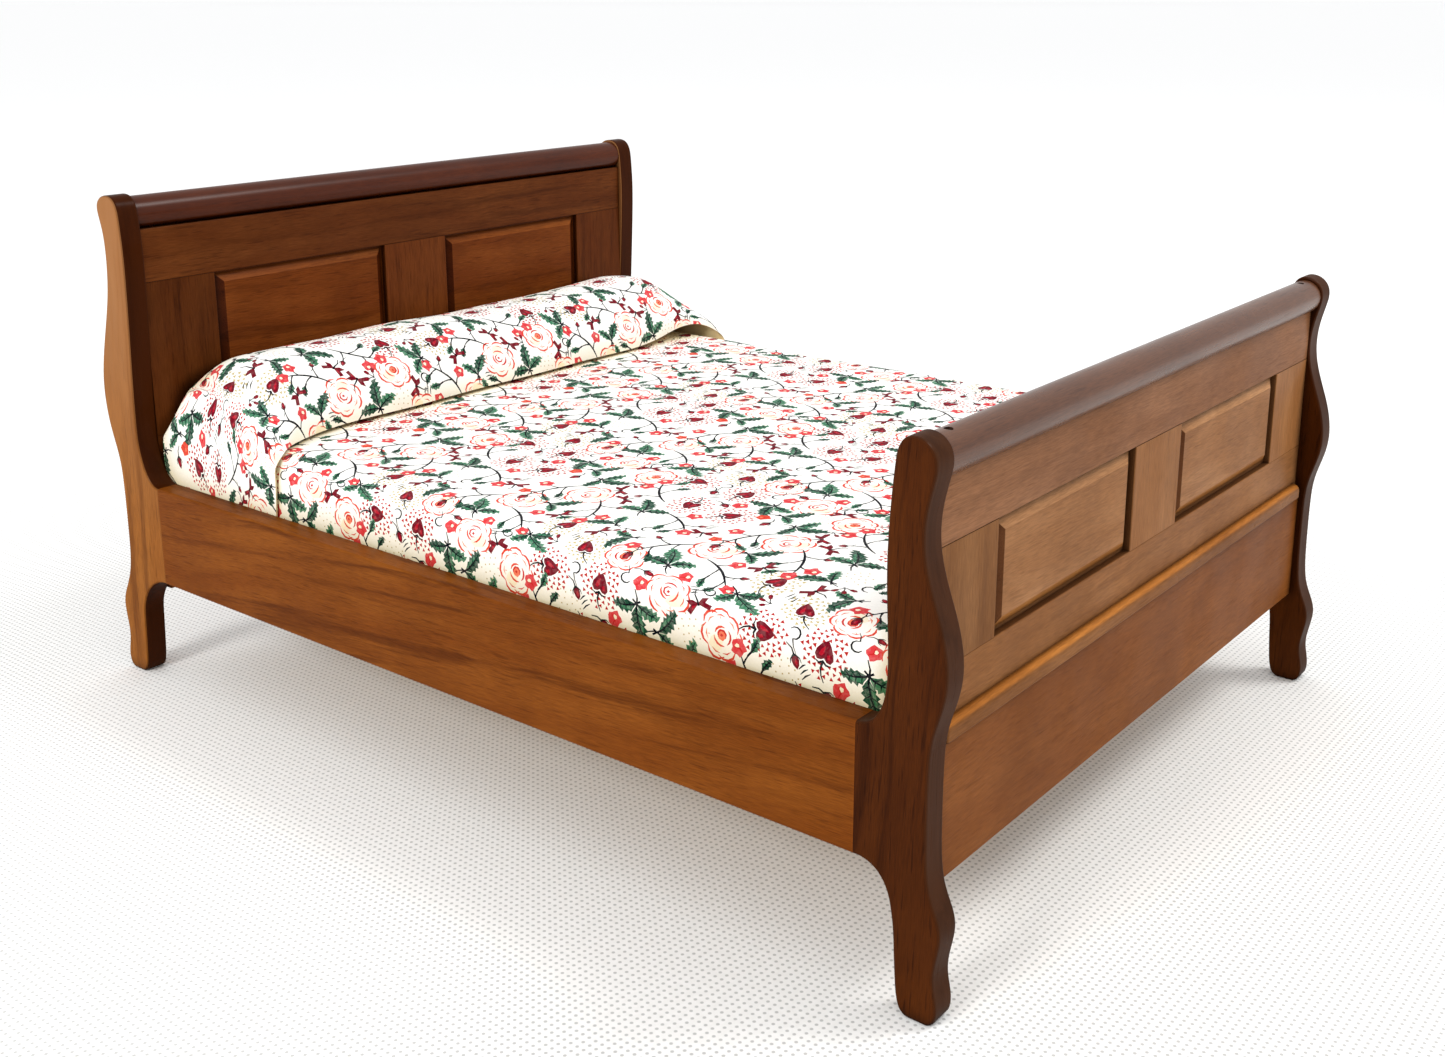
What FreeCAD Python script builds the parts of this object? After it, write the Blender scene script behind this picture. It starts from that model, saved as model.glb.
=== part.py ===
import FreeCAD, Part
import os
import math

# Miniature (1:12) double sleigh bed: scrolled side posts, panelled head and
# foot boards under round crest rolls, two side rails, a base board on glued
# cleats, and loose bedding (mattress and bolster with their printed covers).
# Frame: X across the bed, Y along it with the headboard at +Y, Z up, and the
# origin on the floor under the middle of the bed. Millimetres.

V = FreeCAD.Vector
doc = FreeCAD.newDocument("sleigh_bed")

# ---------------------------------------------------------------- dimensions
SHEET = [
    ("bed_width", 145.0),        # outer face of one post to the other
    ("post_thick", 4.5),         # posts and side rails are one board thickness
    ("soft_edge", 0.5),          # rounding of the outer arrises
    ("inner_edge", 0.3),         # rounding of the inner arrises
    ("rail_low", 21.5),          # underside of the side rails
    ("rail_high", 41.2),         # top of the side rails
    ("foot_joint", 82.4),        # foot post / side rail joint, distance from X axis
    ("head_joint", 80.0),        # head post / side rail joint
    ("head_face", 85.4),         # inner face of the headboard frame
    ("foot_face", 88.2),         # inner face of the footboard frame
    ("frame_thick", 3.4),        # thickness of the frame rails and stiles
    ("lower_thick", 4.2),        # thickness of the lower boards
    ("open_half", 52.2),         # outer side of a panel opening from the middle
    ("muntin_half", 8.8),        # half width of the centre stile
    ("lower_bottom", 18.0),      # underside of the lower boards
    ("lower_top", 38.6),         # top of the lower boards
    ("head_open_low", 50.0),
    ("head_open_high", 80.4),
    ("head_rail_top", 90.8),
    ("foot_open_low", 48.8),
    ("foot_open_high", 66.0),
    ("foot_rail_top", 75.6),
    ("groove_wide", 1.1),        # groove that holds the panel's tongue
    ("groove_deep", 1.5),
    ("tongue_thick", 1.0),
    ("tongue_long", 1.3),        # how far the tongue reaches into the groove
    ("tongue_flat", 0.45),       # flat strip between opening and bevel
    ("bevel_wide", 1.75),
    ("field_half", 1.45),        # field surface from the panel's mid plane
    ("head_roll_y", 88.5),
    ("head_roll_z", 93.6),
    ("head_roll_rad", 3.3),
    ("foot_roll_y", 90.1),
    ("foot_roll_z", 78.0),
    ("foot_roll_rad", 3.1),
    ("mould_low", 38.6),
    ("mould_high", 41.4),
    ("mould_out", 1.5),          # how far the bead stands off the frame
    ("mould_short", 1.2),        # gap between the bead's end and the post
    ("cleat_size", 3.0),
    ("base_low", 30.0),
    ("base_thick", 2.0),
    ("base_gap", 0.2),
    ("dowel_rad", 1.0),
    ("dowel_half", 3.0),
    ("pin_rad", 0.8),
    ("pin_half", 2.4),
    ("hole_gap", 0.05),          # radial clearance of every dowel hole
    ("brad_rad", 0.35),
    ("brad_head_rad", 0.6),
    ("brad_sunk", 0.35),
    ("cover_half", 67.2),        # half width of the covered mattress
    ("cover_foot", 86.2),
    ("cover_head", 84.6),
    ("cover_low", 32.15),
    ("cover_high", 52.0),
    ("cover_round", 3.6),
    ("cover_thick", 0.5),
    ("core_gap", 0.15),
    ("flap_half", 67.75),
    ("flap_thick", 0.35),
    ("flap_low", 38.5),
    ("flap_front", 50.5),
    ("bolster_half", 64.5),
]
sheet = doc.addObject("Spreadsheet::Sheet", "dims")
for i, (alias, value) in enumerate(SHEET, 1):
    sheet.set("A%d" % i, alias)
    sheet.set("B%d" % i, repr(float(value)))
    sheet.setAlias("B%d" % i, alias)
doc.recompute()
D = {alias: float(sheet.get(alias)) for alias, _ in SHEET}


def cell(text):
    """Turns bare aliases in an expression into references to the sheet."""
    out, word = "", ""
    for ch in text + " ":
        if ch.isalnum() or ch == "_":
            word += ch
        else:
            out += "dims." + word if word in D else word
            word = ""
            out += ch
    return out.strip()


def bind(obj, prop, text):
    obj.setExpression(prop, cell(text))


NODES = []          # (label, object) in the order they are exported


def node(obj, label):
    obj.Label = label
    NODES.append((label, obj))
    return obj


# ------------------------------------------------------------ small builders
def box(name, xs, ys, zs):
    """A block between two expressions on each axis."""
    b = doc.addObject("Part::Box", name)
    for lo, hi, side, axis in ((xs[0], xs[1], "Length", "x"), (ys[0], ys[1], "Width", "y"), (zs[0], zs[1], "Height", "z")):
        bind(b, side, "(%s) - (%s)" % (hi, lo))
        bind(b, "Placement.Base.%s" % axis, lo)
    return b


def rod(name, rad, start, length, axis):
    """A round rod from a start point (expressions) along an axis."""
    c = doc.addObject("Part::Cylinder", name)
    bind(c, "Radius", rad)
    bind(c, "Height", length)
    z = V(0, 0, 1)
    c.Placement = FreeCAD.Placement(V(0, 0, 0), FreeCAD.Rotation(z, axis))
    for v, k in zip(start, "xyz"):
        bind(c, "Placement.Base.%s" % k, v)
    return c


def cut(name, base, tools):
    if len(tools) == 1:
        tool = tools[0]
    else:
        tool = doc.addObject("Part::MultiFuse", name + "_tools")
        tool.Shapes = tools
    c = doc.addObject("Part::Cut", name)
    c.Base = base
    c.Tool = tool
    return c


def fuse(name, parts):
    f = doc.addObject("Part::MultiFuse", name)
    f.Shapes = parts
    return f


def soften(name, base, radius, pick, kind="Part::Fillet"):
    """Rounds the straight edges that pick(middle, direction, edge) accepts."""
    doc.recompute()
    edges = []
    for i, e in enumerate(base.Shape.Edges, 1):
        m = e.valueAt((e.FirstParameter + e.LastParameter) / 2)
        bb = e.BoundBox
        t = V(bb.XLength, bb.YLength, bb.ZLength)
        t.normalize()
        if pick(m, t, e):
            edges.append((i, radius, radius))
    if not edges:
        raise RuntimeError("no edges picked for " + name)
    f = doc.addObject(kind, name)
    f.Base = base
    f.Edges = edges
    return f


def near(a, b, tol=1e-3):
    return abs(a - b) < tol


# ------------------------------------------------------------------- posts
# Half profiles, as (distance from the X axis, height). The outer curve runs
# from the toe over knee, belly and waist to the crest, and down the inner side
# to the top of the side rail; the second curve is the arch below the rail.
FOOT_OUTER = [
    (94.5, 0.0), (95.5, 0.6), (95.95, 2.0), (95.85, 4.0), (95.45, 6.0), (95.35, 7.8), (95.65, 10.0),
    (96.1, 12.4), (96.2, 14.2), (95.75, 16.2), (94.95, 18.1), (94.25, 20.2), (93.85, 22.8), (93.65, 27.0),
    (93.6, 32.5), (93.65, 37.0), (93.85, 40.2), (94.35, 42.8), (95.05, 45.2), (95.7, 47.7), (96.0, 50.4),
    (95.8, 53.3), (95.1, 56.5), (94.1, 59.5), (93.1, 62.4), (92.35, 65.2), (92.0, 68.0), (92.1, 71.0),
    (92.6, 73.8), (93.2, 76.2), (93.5, 78.0), (93.2, 79.7), (92.2, 81.0), (90.6, 81.7), (89.0, 81.5),
    (87.9, 80.3), (87.35, 78.0), (86.95, 74.0), (86.65, 69.5), (86.5, 65.0), (86.6, 60.0), (86.85, 55.0),
    (87.0, 50.5), (86.85, 47.0), (86.1, 44.0), (84.9, 42.15), (83.6, 41.36),
]
HEAD_OUTER = [
    (94.5, 0.0), (95.55, 0.6), (96.1, 2.0), (96.0, 4.0), (95.55, 6.0), (95.4, 7.8), (95.65, 10.0),
    (96.05, 12.4), (96.1, 14.2), (95.5, 16.3), (94.4, 18.4), (93.35, 20.6), (92.6, 23.2), (92.2, 27.0),
    (92.1, 32.5), (92.1, 37.5), (92.2, 41.0), (92.6, 44.6), (93.6, 48.0), (94.7, 51.3), (95.45, 54.7),
    (95.75, 58.1), (95.6, 61.5), (95.0, 64.8), (94.15, 68.0), (93.15, 71.3), (92.15, 74.6), (91.3, 77.9),
    (90.75, 81.2), (90.5, 84.4), (90.5, 87.4), (90.75, 90.0), (91.3, 92.2), (91.8, 93.9), (91.9, 95.2),
    (91.35, 96.4), (90.1, 97.2), (88.5, 97.45), (86.9, 97.15), (85.75, 96.2), (85.05, 94.6), (84.7, 92.0),
    (84.45, 88.5), (84.35, 84.0), (84.5, 78.0), (84.8, 71.5), (85.15, 65.0), (85.45, 58.5), (85.55, 53.0),
    (85.35, 49.2), (84.65, 46.2), (83.6, 43.8), (82.3, 42.15), (81.1, 41.4),
]


def arch(joint):
    """The curve from the rail's underside down the inner side of the leg."""
    j = joint
    if j > 81:
        top = [(83.9, 21.38), (85.5, 20.75), (86.8, 19.6), (87.8, 17.9)]
    else:
        top = [(81.8, 21.38), (83.7, 20.75), (85.6, 19.6), (87.2, 17.8)]
    return top + [(88.5, 15.3), (88.95, 12.0), (89.15, 8.5), (89.4, 5.0), (89.75, 2.2), (90.4, 0.65)]


def spline(points):
    c = Part.BSplineCurve()
    c.interpolate(Points=points)
    return c


def runs(points, n):
    """The smooth curve through the points, as n joined stretches."""
    whole = spline(points)
    last = len(points) - 1
    at = [whole.parameter(points[round(last * k / n)]) for k in range(n + 1)]
    out = []
    for a, b in zip(at, at[1:]):
        c = whole.copy()
        c.segment(a, b)
        out.append(c)
    return out


def plane_of(body, role):
    for f in body.Origin.OriginFeatures:
        if f.Role == role:
            return f
    raise RuntimeError("no plane " + role)


def inset(curve, points, by, left):
    """The points moved sideways off the curve by a distance."""
    out = []
    for q in points:
        t = curve.tangent(curve.parameter(q))[0]
        n = V(-t.y, t.x, 0) if left else V(t.y, -t.x, 0)
        out.append(q + n * by)
    return out


def post(name, end, side):
    """One scrolled post: a ruled loft through its outline at several depths,
    inset near both faces so that the arrises are rounded. end is +1 for the
    head and -1 for the foot; side is the X side of the bed."""
    outer = HEAD_OUTER if end > 0 else FOOT_OUTER
    joint = D["head_joint"] if end > 0 else D["foot_joint"]
    low, high = D["rail_low"], D["rail_high"]

    def p(d, z):
        return V(end * d, z, 0)

    up = [p(*q) for q in outer] + [p(joint, high)]
    under = [p(joint, low)] + [p(*q) for q in arch(joint)] + [p(91.6, 0.0)]
    over_c, under_c = spline(up), spline(under)
    left = end > 0
    # depth from the outer face (expression) and inset there
    rounds = [("0", 1.0, "soft_edge"), ("soft_edge * 0.134", 0.5, "soft_edge"), ("soft_edge * 0.5", 0.134, "soft_edge"), ("soft_edge", 0.0, "soft_edge"),
              ("post_thick - inner_edge", 0.0, "inner_edge"), ("post_thick - inner_edge * 0.293", 0.293, "inner_edge"), ("post_thick", 1.0, "inner_edge")]
    sections = []
    for k, (depth, share, which) in enumerate(rounds):
        by = share * D[which]
        a = inset(over_c, up, by, left)
        b = inset(under_c, under, by, left)
        a[0].y = b[-1].y = by
        a[-1] = V(end * joint, high - by, 0)
        b[0] = V(end * joint, low + by, 0)
        sk = doc.addObject("Sketcher::SketchObject", "%s_outline%d" % (name, k))
        sk.Placement = FreeCAD.Placement(V(0, 0, 0), FreeCAD.Rotation(V(1, 1, 1), 120))
        bind(sk, "Placement.Base.x", "%d * (bed_width / 2 - (%s))" % (side, depth))
        for c in runs(a, 9):
            sk.addGeometry(c, False)
        sk.addGeometry(Part.LineSegment(a[-1], b[0]), False)
        for c in runs(b, 2):
            sk.addGeometry(c, False)
        sk.addGeometry(Part.LineSegment(b[-1], a[0]), False)
        sections.append(sk)
    doc.recompute()
    loft = doc.addObject("Part::Loft", name)
    loft.Sections = sections if side < 0 else list(reversed(sections))
    loft.Solid = True
    loft.Ruled = True
    doc.recompute()
    if loft.Shape.isNull() or not loft.Shape.isValid() or loft.Shape.Volume < 100:
        raise RuntimeError("loft failed on " + name)
    return loft, loft


def post_holes(name, body, tip, end, side):
    """Dowel holes: two blind ones for the side rail, three for the boards."""
    doc.recompute()
    tools = []
    joint = "head_joint" if end > 0 else "foot_joint"
    mid = "%s * (bed_width / 2 - post_thick / 2)" % side
    for k, zz in enumerate(("rail_low + 5", "rail_high - 5")):
        start_y = "%d * (%s - 0.01)" % (end, joint)
        tools.append(rod("%s_hole_y%d" % (name, k), "dowel_rad + hole_gap", (mid, start_y, zz), "dowel_half + 0.25", V(0, end, 0)))
    for k, (yy, zz) in enumerate(BOARD_PINS[end]):
        start_x = "%d * (bed_width / 2 - post_thick - 0.01)" % side
        tools.append(rod("%s_hole_x%d" % (name, k), "pin_rad + hole_gap", (start_x, yy, zz), "pin_half + 0.25", V(side, 0, 0)))
    return cut(name + "_cut", body, tools)


# Cross dowels between boards and posts: (y, z) expressions at each end.
BOARD_PINS = {
    1: [("head_face + frame_thick / 2", "head_open_high + 4.5"), ("head_face + frame_thick / 2", "head_open_low - 4.5"),
        ("head_face + frame_thick / 2", "lower_bottom + 5"), ("head_face + frame_thick / 2", "lower_top - 6")],
    -1: [("-foot_face - frame_thick / 2", "foot_open_high + 4"), ("-foot_face - frame_thick / 2", "foot_open_low - 4"),
         ("-foot_face - frame_thick / 2", "lower_bottom + 5"), ("-foot_face - frame_thick / 2", "lower_top - 6")],
}

for end, word in ((1, "head"), (-1, "foot")):
    for side, hand in ((-1, "left"), (1, "right")):
        nm = "%s_post_%s" % (word, hand)
        b, tip = post(nm + "_body", end, side)
        node(post_holes(nm, b, tip, end, side), nm)

# --------------------------------------------------------------- side rails
IN = "(bed_width / 2 - post_thick)"          # inner face of posts and rails
for side, hand in ((-1, "left"), (1, "right")):
    nm = "side_rail_" + hand
    body = doc.addObject("PartDesign::Body", nm + "_body")
    sk = body.newObject("Sketcher::SketchObject", nm + "_face")
    sk.AttachmentSupport = [(plane_of(body, "YZ_Plane"), "")]
    sk.MapMode = "FlatFace"
    doc.recompute()
    pts = [V(-D["foot_joint"], D["rail_low"], 0), V(D["head_joint"], D["rail_low"], 0), V(D["head_joint"], D["rail_high"], 0), V(-D["foot_joint"], D["rail_high"], 0)]
    for i in range(4):
        sk.addGeometry(Part.LineSegment(pts[i], pts[(i + 1) % 4]), False)
    import Sketcher
    for i in range(4):
        sk.addConstraint(Sketcher.Constraint("Coincident", i, 2, (i + 1) % 4, 1))
    sk.addConstraint(Sketcher.Constraint("Horizontal", 0))
    sk.addConstraint(Sketcher.Constraint("Horizontal", 2))
    sk.addConstraint(Sketcher.Constraint("Vertical", 1))
    sk.addConstraint(Sketcher.Constraint("Vertical", 3))
    for label, args, alias in (("foot_end", ("DistanceX", 3, 2, -1, 1, D["foot_joint"]), "foot_joint"), ("head_end", ("DistanceX", -1, 1, 1, 1, D["head_joint"]), "head_joint"),
                               ("underside", ("DistanceY", -1, 1, 0, 1, D["rail_low"]), "rail_low"), ("top_side", ("DistanceY", -1, 1, 2, 1, D["rail_high"]), "rail_high")):
        n = sk.addConstraint(Sketcher.Constraint(*args))
        sk.renameConstraint(n, label)
        bind(sk, "Constraints." + label, alias)
    doc.recompute()
    pad = body.newObject("PartDesign::Pad", nm + "_board")
    pad.Profile = sk
    bind(pad, "Length", "post_thick")
    body.Tip = pad
    doc.recompute()
    t = D["post_thick"]
    at = t if side > 0 else 0.0
    tip = pad
    for tag, alias, xx in (("outer", "soft_edge", at), ("inner", "inner_edge", t - at)):
        names = []
        for i, e in enumerate(tip.Shape.Edges, 1):
            m = e.valueAt((e.FirstParameter + e.LastParameter) / 2)
            if near(m.x, xx) and e.Length > 100:
                names.append("Edge%d" % i)
        f = body.newObject("PartDesign::Fillet", nm + "_" + tag)
        f.Base = (tip, names)
        bind(f, "Radius", alias)
        body.Tip = f
        doc.recompute()
        tip = f
    bind(body, "Placement.Base.x", "bed_width / 2 - post_thick" if side > 0 else "-bed_width / 2")
    tools = []
    mid = "%s * (bed_width / 2 - post_thick / 2)" % side
    for end, joint in ((1, "head_joint"), (-1, "foot_joint")):
        for k, zz in enumerate(("rail_low + 5", "rail_high - 5")):
            tools.append(rod("%s_bore_%s%d" % (nm, "h" if end > 0 else "f", k), "dowel_rad + hole_gap", (mid, "%d * (%s + 0.01)" % (end, joint), zz), "dowel_half + 0.25", V(0, -end, 0)))
    node(cut(nm + "_cut", body, tools), nm)

# ------------------------------------------------------------ panelled boards
def frame_end(word, end):
    """All the pieces between the two posts of one end."""
    inner = "%s_face" % word                       # distance of the inner face
    lo, hi, top = "%s_open_low" % word, "%s_open_high" % word, "%s_rail_top" % word
    rad, ry, rz = "%s_roll_rad" % word, "%s_roll_y" % word, "%s_roll_z" % word

    def ys(a, b):
        """Two distances from the X axis, as a Y range on this end."""
        return (a, b) if end > 0 else ("-(%s)" % b, "-(%s)" % a)

    face = ys(inner, "%s + frame_thick" % inner)
    mid = "%d * (%s + frame_thick / 2)" % (end, inner)
    groove = ("%s - groove_wide / 2" % mid, "%s + groove_wide / 2" % mid)
    pins = BOARD_PINS[end]

    def bores(nm, rows):
        out = []
        for k, (yy, zz) in enumerate(rows):
            for side in (-1, 1):
                out.append(rod("%s_pin%d%s" % (nm, k, "r" if side > 0 else "l"), "pin_rad + hole_gap", ("%d * (%s + 0.01)" % (side, IN), yy, zz), "pin_half + 0.25", V(-side, 0, 0)))
        return out

    # top rail, coved along its top to seat the crest roll
    nm = word + "_top_rail"
    b = box(nm + "_block", ("-" + IN, IN), face, (hi, top))
    b = soften(nm + "_soft", b, 0.2, lambda m, t, e: e.Length > 100 and (near(m.z, D[hi]) or near(m.z, D[top])))
    left_run = ("-open_half - groove_deep", "-muntin_half + groove_deep")
    right_run = ("muntin_half - groove_deep", "open_half + groove_deep")
    tools = [box(nm + "_grooveL", left_run, groove, ("%s - 1" % hi, "%s + groove_deep" % hi)),
             box(nm + "_grooveR", right_run, groove, ("%s - 1" % hi, "%s + groove_deep" % hi)),
             rod(nm + "_cove", rad, ("-%s - 1" % IN, "%d * %s" % (end, ry), rz), "2 * %s + 2" % IN, V(1, 0, 0))]
    tools += bores(nm, pins[:1])
    # brad holes through to the rail
    for k, side in enumerate((-1, 1)):
        tools.append(brad_rod("%s_bradhole%d" % (nm, k), word, end, side, D["brad_rad"] + 0.03, 0.0, BRAD_LONG + 0.1))
    node(cut(nm + "_cut", b, tools), nm)

    # bottom rail
    nm = word + "_bottom_rail"
    b = box(nm + "_block", ("-" + IN, IN), face, ("lower_top", lo))
    b = soften(nm + "_soft", b, 0.2, lambda m, t, e: e.Length > 100 and near(m.z, D[lo]))
    tools = [box(nm + "_grooveL", left_run, groove, ("%s - groove_deep" % lo, "%s + 1" % lo)),
             box(nm + "_grooveR", right_run, groove, ("%s - groove_deep" % lo, "%s + 1" % lo))]
    tools += bores(nm, pins[1:2])
    node(cut(nm + "_cut", b, tools), nm)

    # stiles: two outer ones and the centre one, between the rails
    for tag, x0, x1, grooved in (("left_stile", "-" + IN, "-open_half", (1,)), ("centre_stile", "-muntin_half", "muntin_half", (-1, 1)), ("right_stile", "open_half", IN, (-1,))):
        nm = "%s_%s" % (word, tag)
        b = box(nm + "_block", (x0, x1), face, (lo, hi))
        ends = (D["open_half"], D["muntin_half"])
        b = soften(nm + "_soft", b, 0.2, lambda m, t, e: abs(t.z) > 0.9 and (near(abs(m.x), ends[0]) or near(abs(m.x), ends[1])))
        tools = []
        for g in grooved:
            edge = x1 if g > 0 else x0
            span = ("(%s) - groove_deep" % edge, "(%s) + 1" % edge) if g > 0 else ("(%s) - 1" % edge, "(%s) + groove_deep" % edge)
            tools.append(box("%s_groove%s" % (nm, "p" if g > 0 else "m"), span, groove, ("%s - 1" % lo, "%s + 1" % hi)))
        node(cut(nm + "_cut", b, tools), nm)

    # raised panels, bevelled on both faces, floating in the grooves
    for tag, side in (("left_panel", -1), ("right_panel", 1)):
        nm = "%s_%s" % (word, tag)
        x0, x1 = ("-open_half", "-muntin_half") if side < 0 else ("muntin_half", "open_half")
        tongue = box(nm + "_tongue", ("%s - tongue_long" % x0, "%s + tongue_long" % x1), ("%s - tongue_thick / 2" % mid, "%s + tongue_thick / 2" % mid), ("%s - tongue_long" % lo, "%s + tongue_long" % hi))
        bodies = [tongue]
        for k, face_dir in enumerate((-1, 1)):
            w = doc.addObject("Part::Wedge", "%s_field%d" % (nm, k))
            # built along local Y from the tongue's mid plane to the field
            bind(w, "Xmin", "%s + tongue_flat" % x0)
            bind(w, "Xmax", "%s - tongue_flat" % x1)
            bind(w, "Zmin", "%s + tongue_flat" % lo)
            bind(w, "Zmax", "%s - tongue_flat" % hi)
            bind(w, "X2min", "%s + tongue_flat + bevel_wide" % x0)
            bind(w, "X2max", "%s - tongue_flat - bevel_wide" % x1)
            bind(w, "Z2min", "%s + tongue_flat + bevel_wide" % lo)
            bind(w, "Z2max", "%s - tongue_flat - bevel_wide" % hi)
            if face_dir > 0:
                bind(w, "Ymin", "tongue_thick / 2")
                bind(w, "Ymax", "field_half")
                bind(w, "Placement.Base.y", mid)
            else:
                # same frustum turned over: mirror in Y is a half turn about Z with X swapped
                bind(w, "Ymin", "tongue_thick / 2")
                bind(w, "Ymax", "field_half")
                bind(w, "Xmin", "-(%s - tongue_flat)" % x1)
                bind(w, "Xmax", "-(%s + tongue_flat)" % x0)
                bind(w, "X2min", "-(%s - tongue_flat - bevel_wide)" % x1)
                bind(w, "X2max", "-(%s + tongue_flat + bevel_wide)" % x0)
                w.Placement = FreeCAD.Placement(V(0, 0, 0), FreeCAD.Rotation(V(0, 0, 1), 180))
                bind(w, "Placement.Base.y", mid)
            bodies.append(w)
        node(fuse(nm + "_solid", bodies), nm)

    # lower board, a little thicker than the frame so its top carries the bead
    nm = word + "_lower_board"
    b = box(nm + "_block", ("-" + IN, IN), ys(inner, "%s + lower_thick" % inner), ("lower_bottom", "lower_top"))
    b = soften(nm + "_soft", b, 0.3, lambda m, t, e: e.Length > 100 and near(m.z, D["lower_bottom"]))
    node(cut(nm + "_cut", b, bores(nm, pins[2:])), nm)

    # bead moulding: a quarter-round strip over the joint, with rounded ends
    nm = word + "_moulding"
    b = box(nm + "_block", ("-%s + mould_short" % IN, "%s - mould_short" % IN), ys("%s + frame_thick" % inner, "%s + frame_thick + mould_out" % inner), ("mould_low", "mould_high"))
    out = end * (D[inner] + D["frame_thick"] + D["mould_out"])
    long_x = D["bed_width"] / 2 - D["post_thick"] - D["mould_short"]
    b = soften(nm + "_top", b, 1.25, lambda m, t, e: abs(t.x) > 0.9 and near(m.y, out) and near(m.z, D["mould_high"]))
    b = soften(nm + "_foot", b, 0.35, lambda m, t, e: abs(t.x) > 0.9 and near(m.y, out, 0.01) and near(m.z, D["mould_low"], 0.01))
    node(soften(nm + "_solid", b, 0.7, lambda m, t, e: abs(t.z) > 0.9 and near(m.y, out, 0.01) and near(abs(m.x), long_x, 0.01)), nm)

    # crest roll
    nm = word + "_crest_roll"
    r = rod(nm + "_rod", rad, ("-" + IN, "%d * %s" % (end, ry), rz), "2 * %s" % IN, V(1, 0, 0))
    tools = []
    for k, side in enumerate((-1, 1)):
        tools.append(brad_rod("%s_shank%d" % (nm, k), word, end, side, D["brad_rad"] + 0.03, -0.5, BRAD_LONG + 1))
        tools.append(brad_rod("%s_sink%d" % (nm, k), word, end, side, D["brad_head_rad"] + 0.05, -0.5, D["brad_sunk"] + 0.5 + 0.32))
    node(cut(nm + "_cut", r, tools), nm)

    # brads that hold the roll down on the top rail, heads sunk
    nm = word + "_roll_brads"
    solids = []
    for k, side in enumerate((-1, 1)):
        a = brad_shape(word, end, side)
        solids.append(a)
    f = doc.addObject("Part::Feature", nm)
    f.Shape = Part.makeCompound(solids)
    node(f, nm)

    # glued dowels from the boards into the posts
    nm = "%sboard_dowels" % word
    rods = []
    for k, (yy, zz) in enumerate(pins):
        for side in (-1, 1):
            rods.append(rod("%s_%d%s" % (nm, k, "r" if side > 0 else "l"), "pin_rad", ("%d * %s - pin_half" % (side, IN), yy, zz), "2 * pin_half", V(1, 0, 0)))
    comp = doc.addObject("Part::Compound", nm)
    comp.Links = rods
    node(comp, nm)


BRAD_LONG = 10.0
BRAD_X = 64.5
BRAD_TILT = {"head": math.radians(76), "foot": math.radians(86)}


def brad_line(word, end, side):
    """Where a brad enters the roll, and the way it is driven."""
    c, s = math.cos(BRAD_TILT[word]), math.sin(BRAD_TILT[word])
    r = D["%s_roll_rad" % word]
    outward = V(0, end * c, s)
    centre = V(side * BRAD_X, end * D["%s_roll_y" % word], D["%s_roll_z" % word])
    return centre + outward * r, outward * -1


def brad_rod(name, word, end, side, radius, start, length):
    p, d = brad_line(word, end, side)
    c = doc.addObject("Part::Cylinder", name)
    c.Radius = radius
    c.Height = length
    c.Placement = FreeCAD.Placement(p + d * start, FreeCAD.Rotation(V(0, 0, 1), d))
    return c


def brad_shape(word, end, side):
    p, d = brad_line(word, end, side)
    top = p + d * D["brad_sunk"]
    head = Part.makeCylinder(D["brad_head_rad"], 0.3, top, d)
    shank = Part.makeCylinder(D["brad_rad"], BRAD_LONG - 0.9 - D["brad_sunk"], top, d)
    tip = Part.makeCone(D["brad_rad"], 0.08, 0.7, top + d * (BRAD_LONG - 0.9 - D["brad_sunk"]), d)
    return head.fuse(shank).fuse(tip).removeSplitter()


frame_end("head", 1)
frame_end("foot", -1)

# dowels between side rails and posts
rods = []
for side in (-1, 1):
    for end, joint in ((1, "head_joint"), (-1, "foot_joint")):
        for k, zz in enumerate(("rail_low + 5", "rail_high - 5")):
            rods.append(rod("rail_dowel_%d%d%d" % (side > 0, end > 0, k), "dowel_rad", ("%d * (bed_width / 2 - post_thick / 2)" % side, "%d * %s - dowel_half" % (end, joint), zz), "2 * dowel_half", V(0, 1, 0)))
comp = doc.addObject("Part::Compound", "side_rail_dowels")
comp.Links = rods
node(comp, "side_rail_dowels")

# ---------------------------------------------------------- bed base
for side, hand in ((-1, "left"), (1, "right")):
    xs = ("-" + IN, "-%s + cleat_size" % IN) if side < 0 else ("%s - cleat_size" % IN, IN)
    node(box("side_cleat_%s_strip" % hand, xs, ("-foot_joint + 4", "head_joint - 4"), ("base_low - cleat_size", "base_low")), "side_cleat_" + hand)
node(box("head_cleat_strip", ("-58", "58"), ("head_face - cleat_size", "head_face"), ("base_low - cleat_size", "base_low")), "head_cleat")
node(box("foot_cleat_strip", ("-58", "58"), ("-foot_face", "-foot_face + cleat_size"), ("base_low - cleat_size", "base_low")), "foot_cleat")
node(box("base_board_sheet", ("-%s + base_gap" % IN, "%s - base_gap" % IN), ("-foot_face + base_gap", "head_face - base_gap"), ("base_low", "base_low + base_thick")), "base_board")

# ---------------------------------------------------------- loose bedding
def pillow_block(name, xs, ys, zs, radius):
    b = box(name + "_block", xs, ys, zs)
    return soften(name, b, radius, lambda m, t, e: True)


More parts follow.
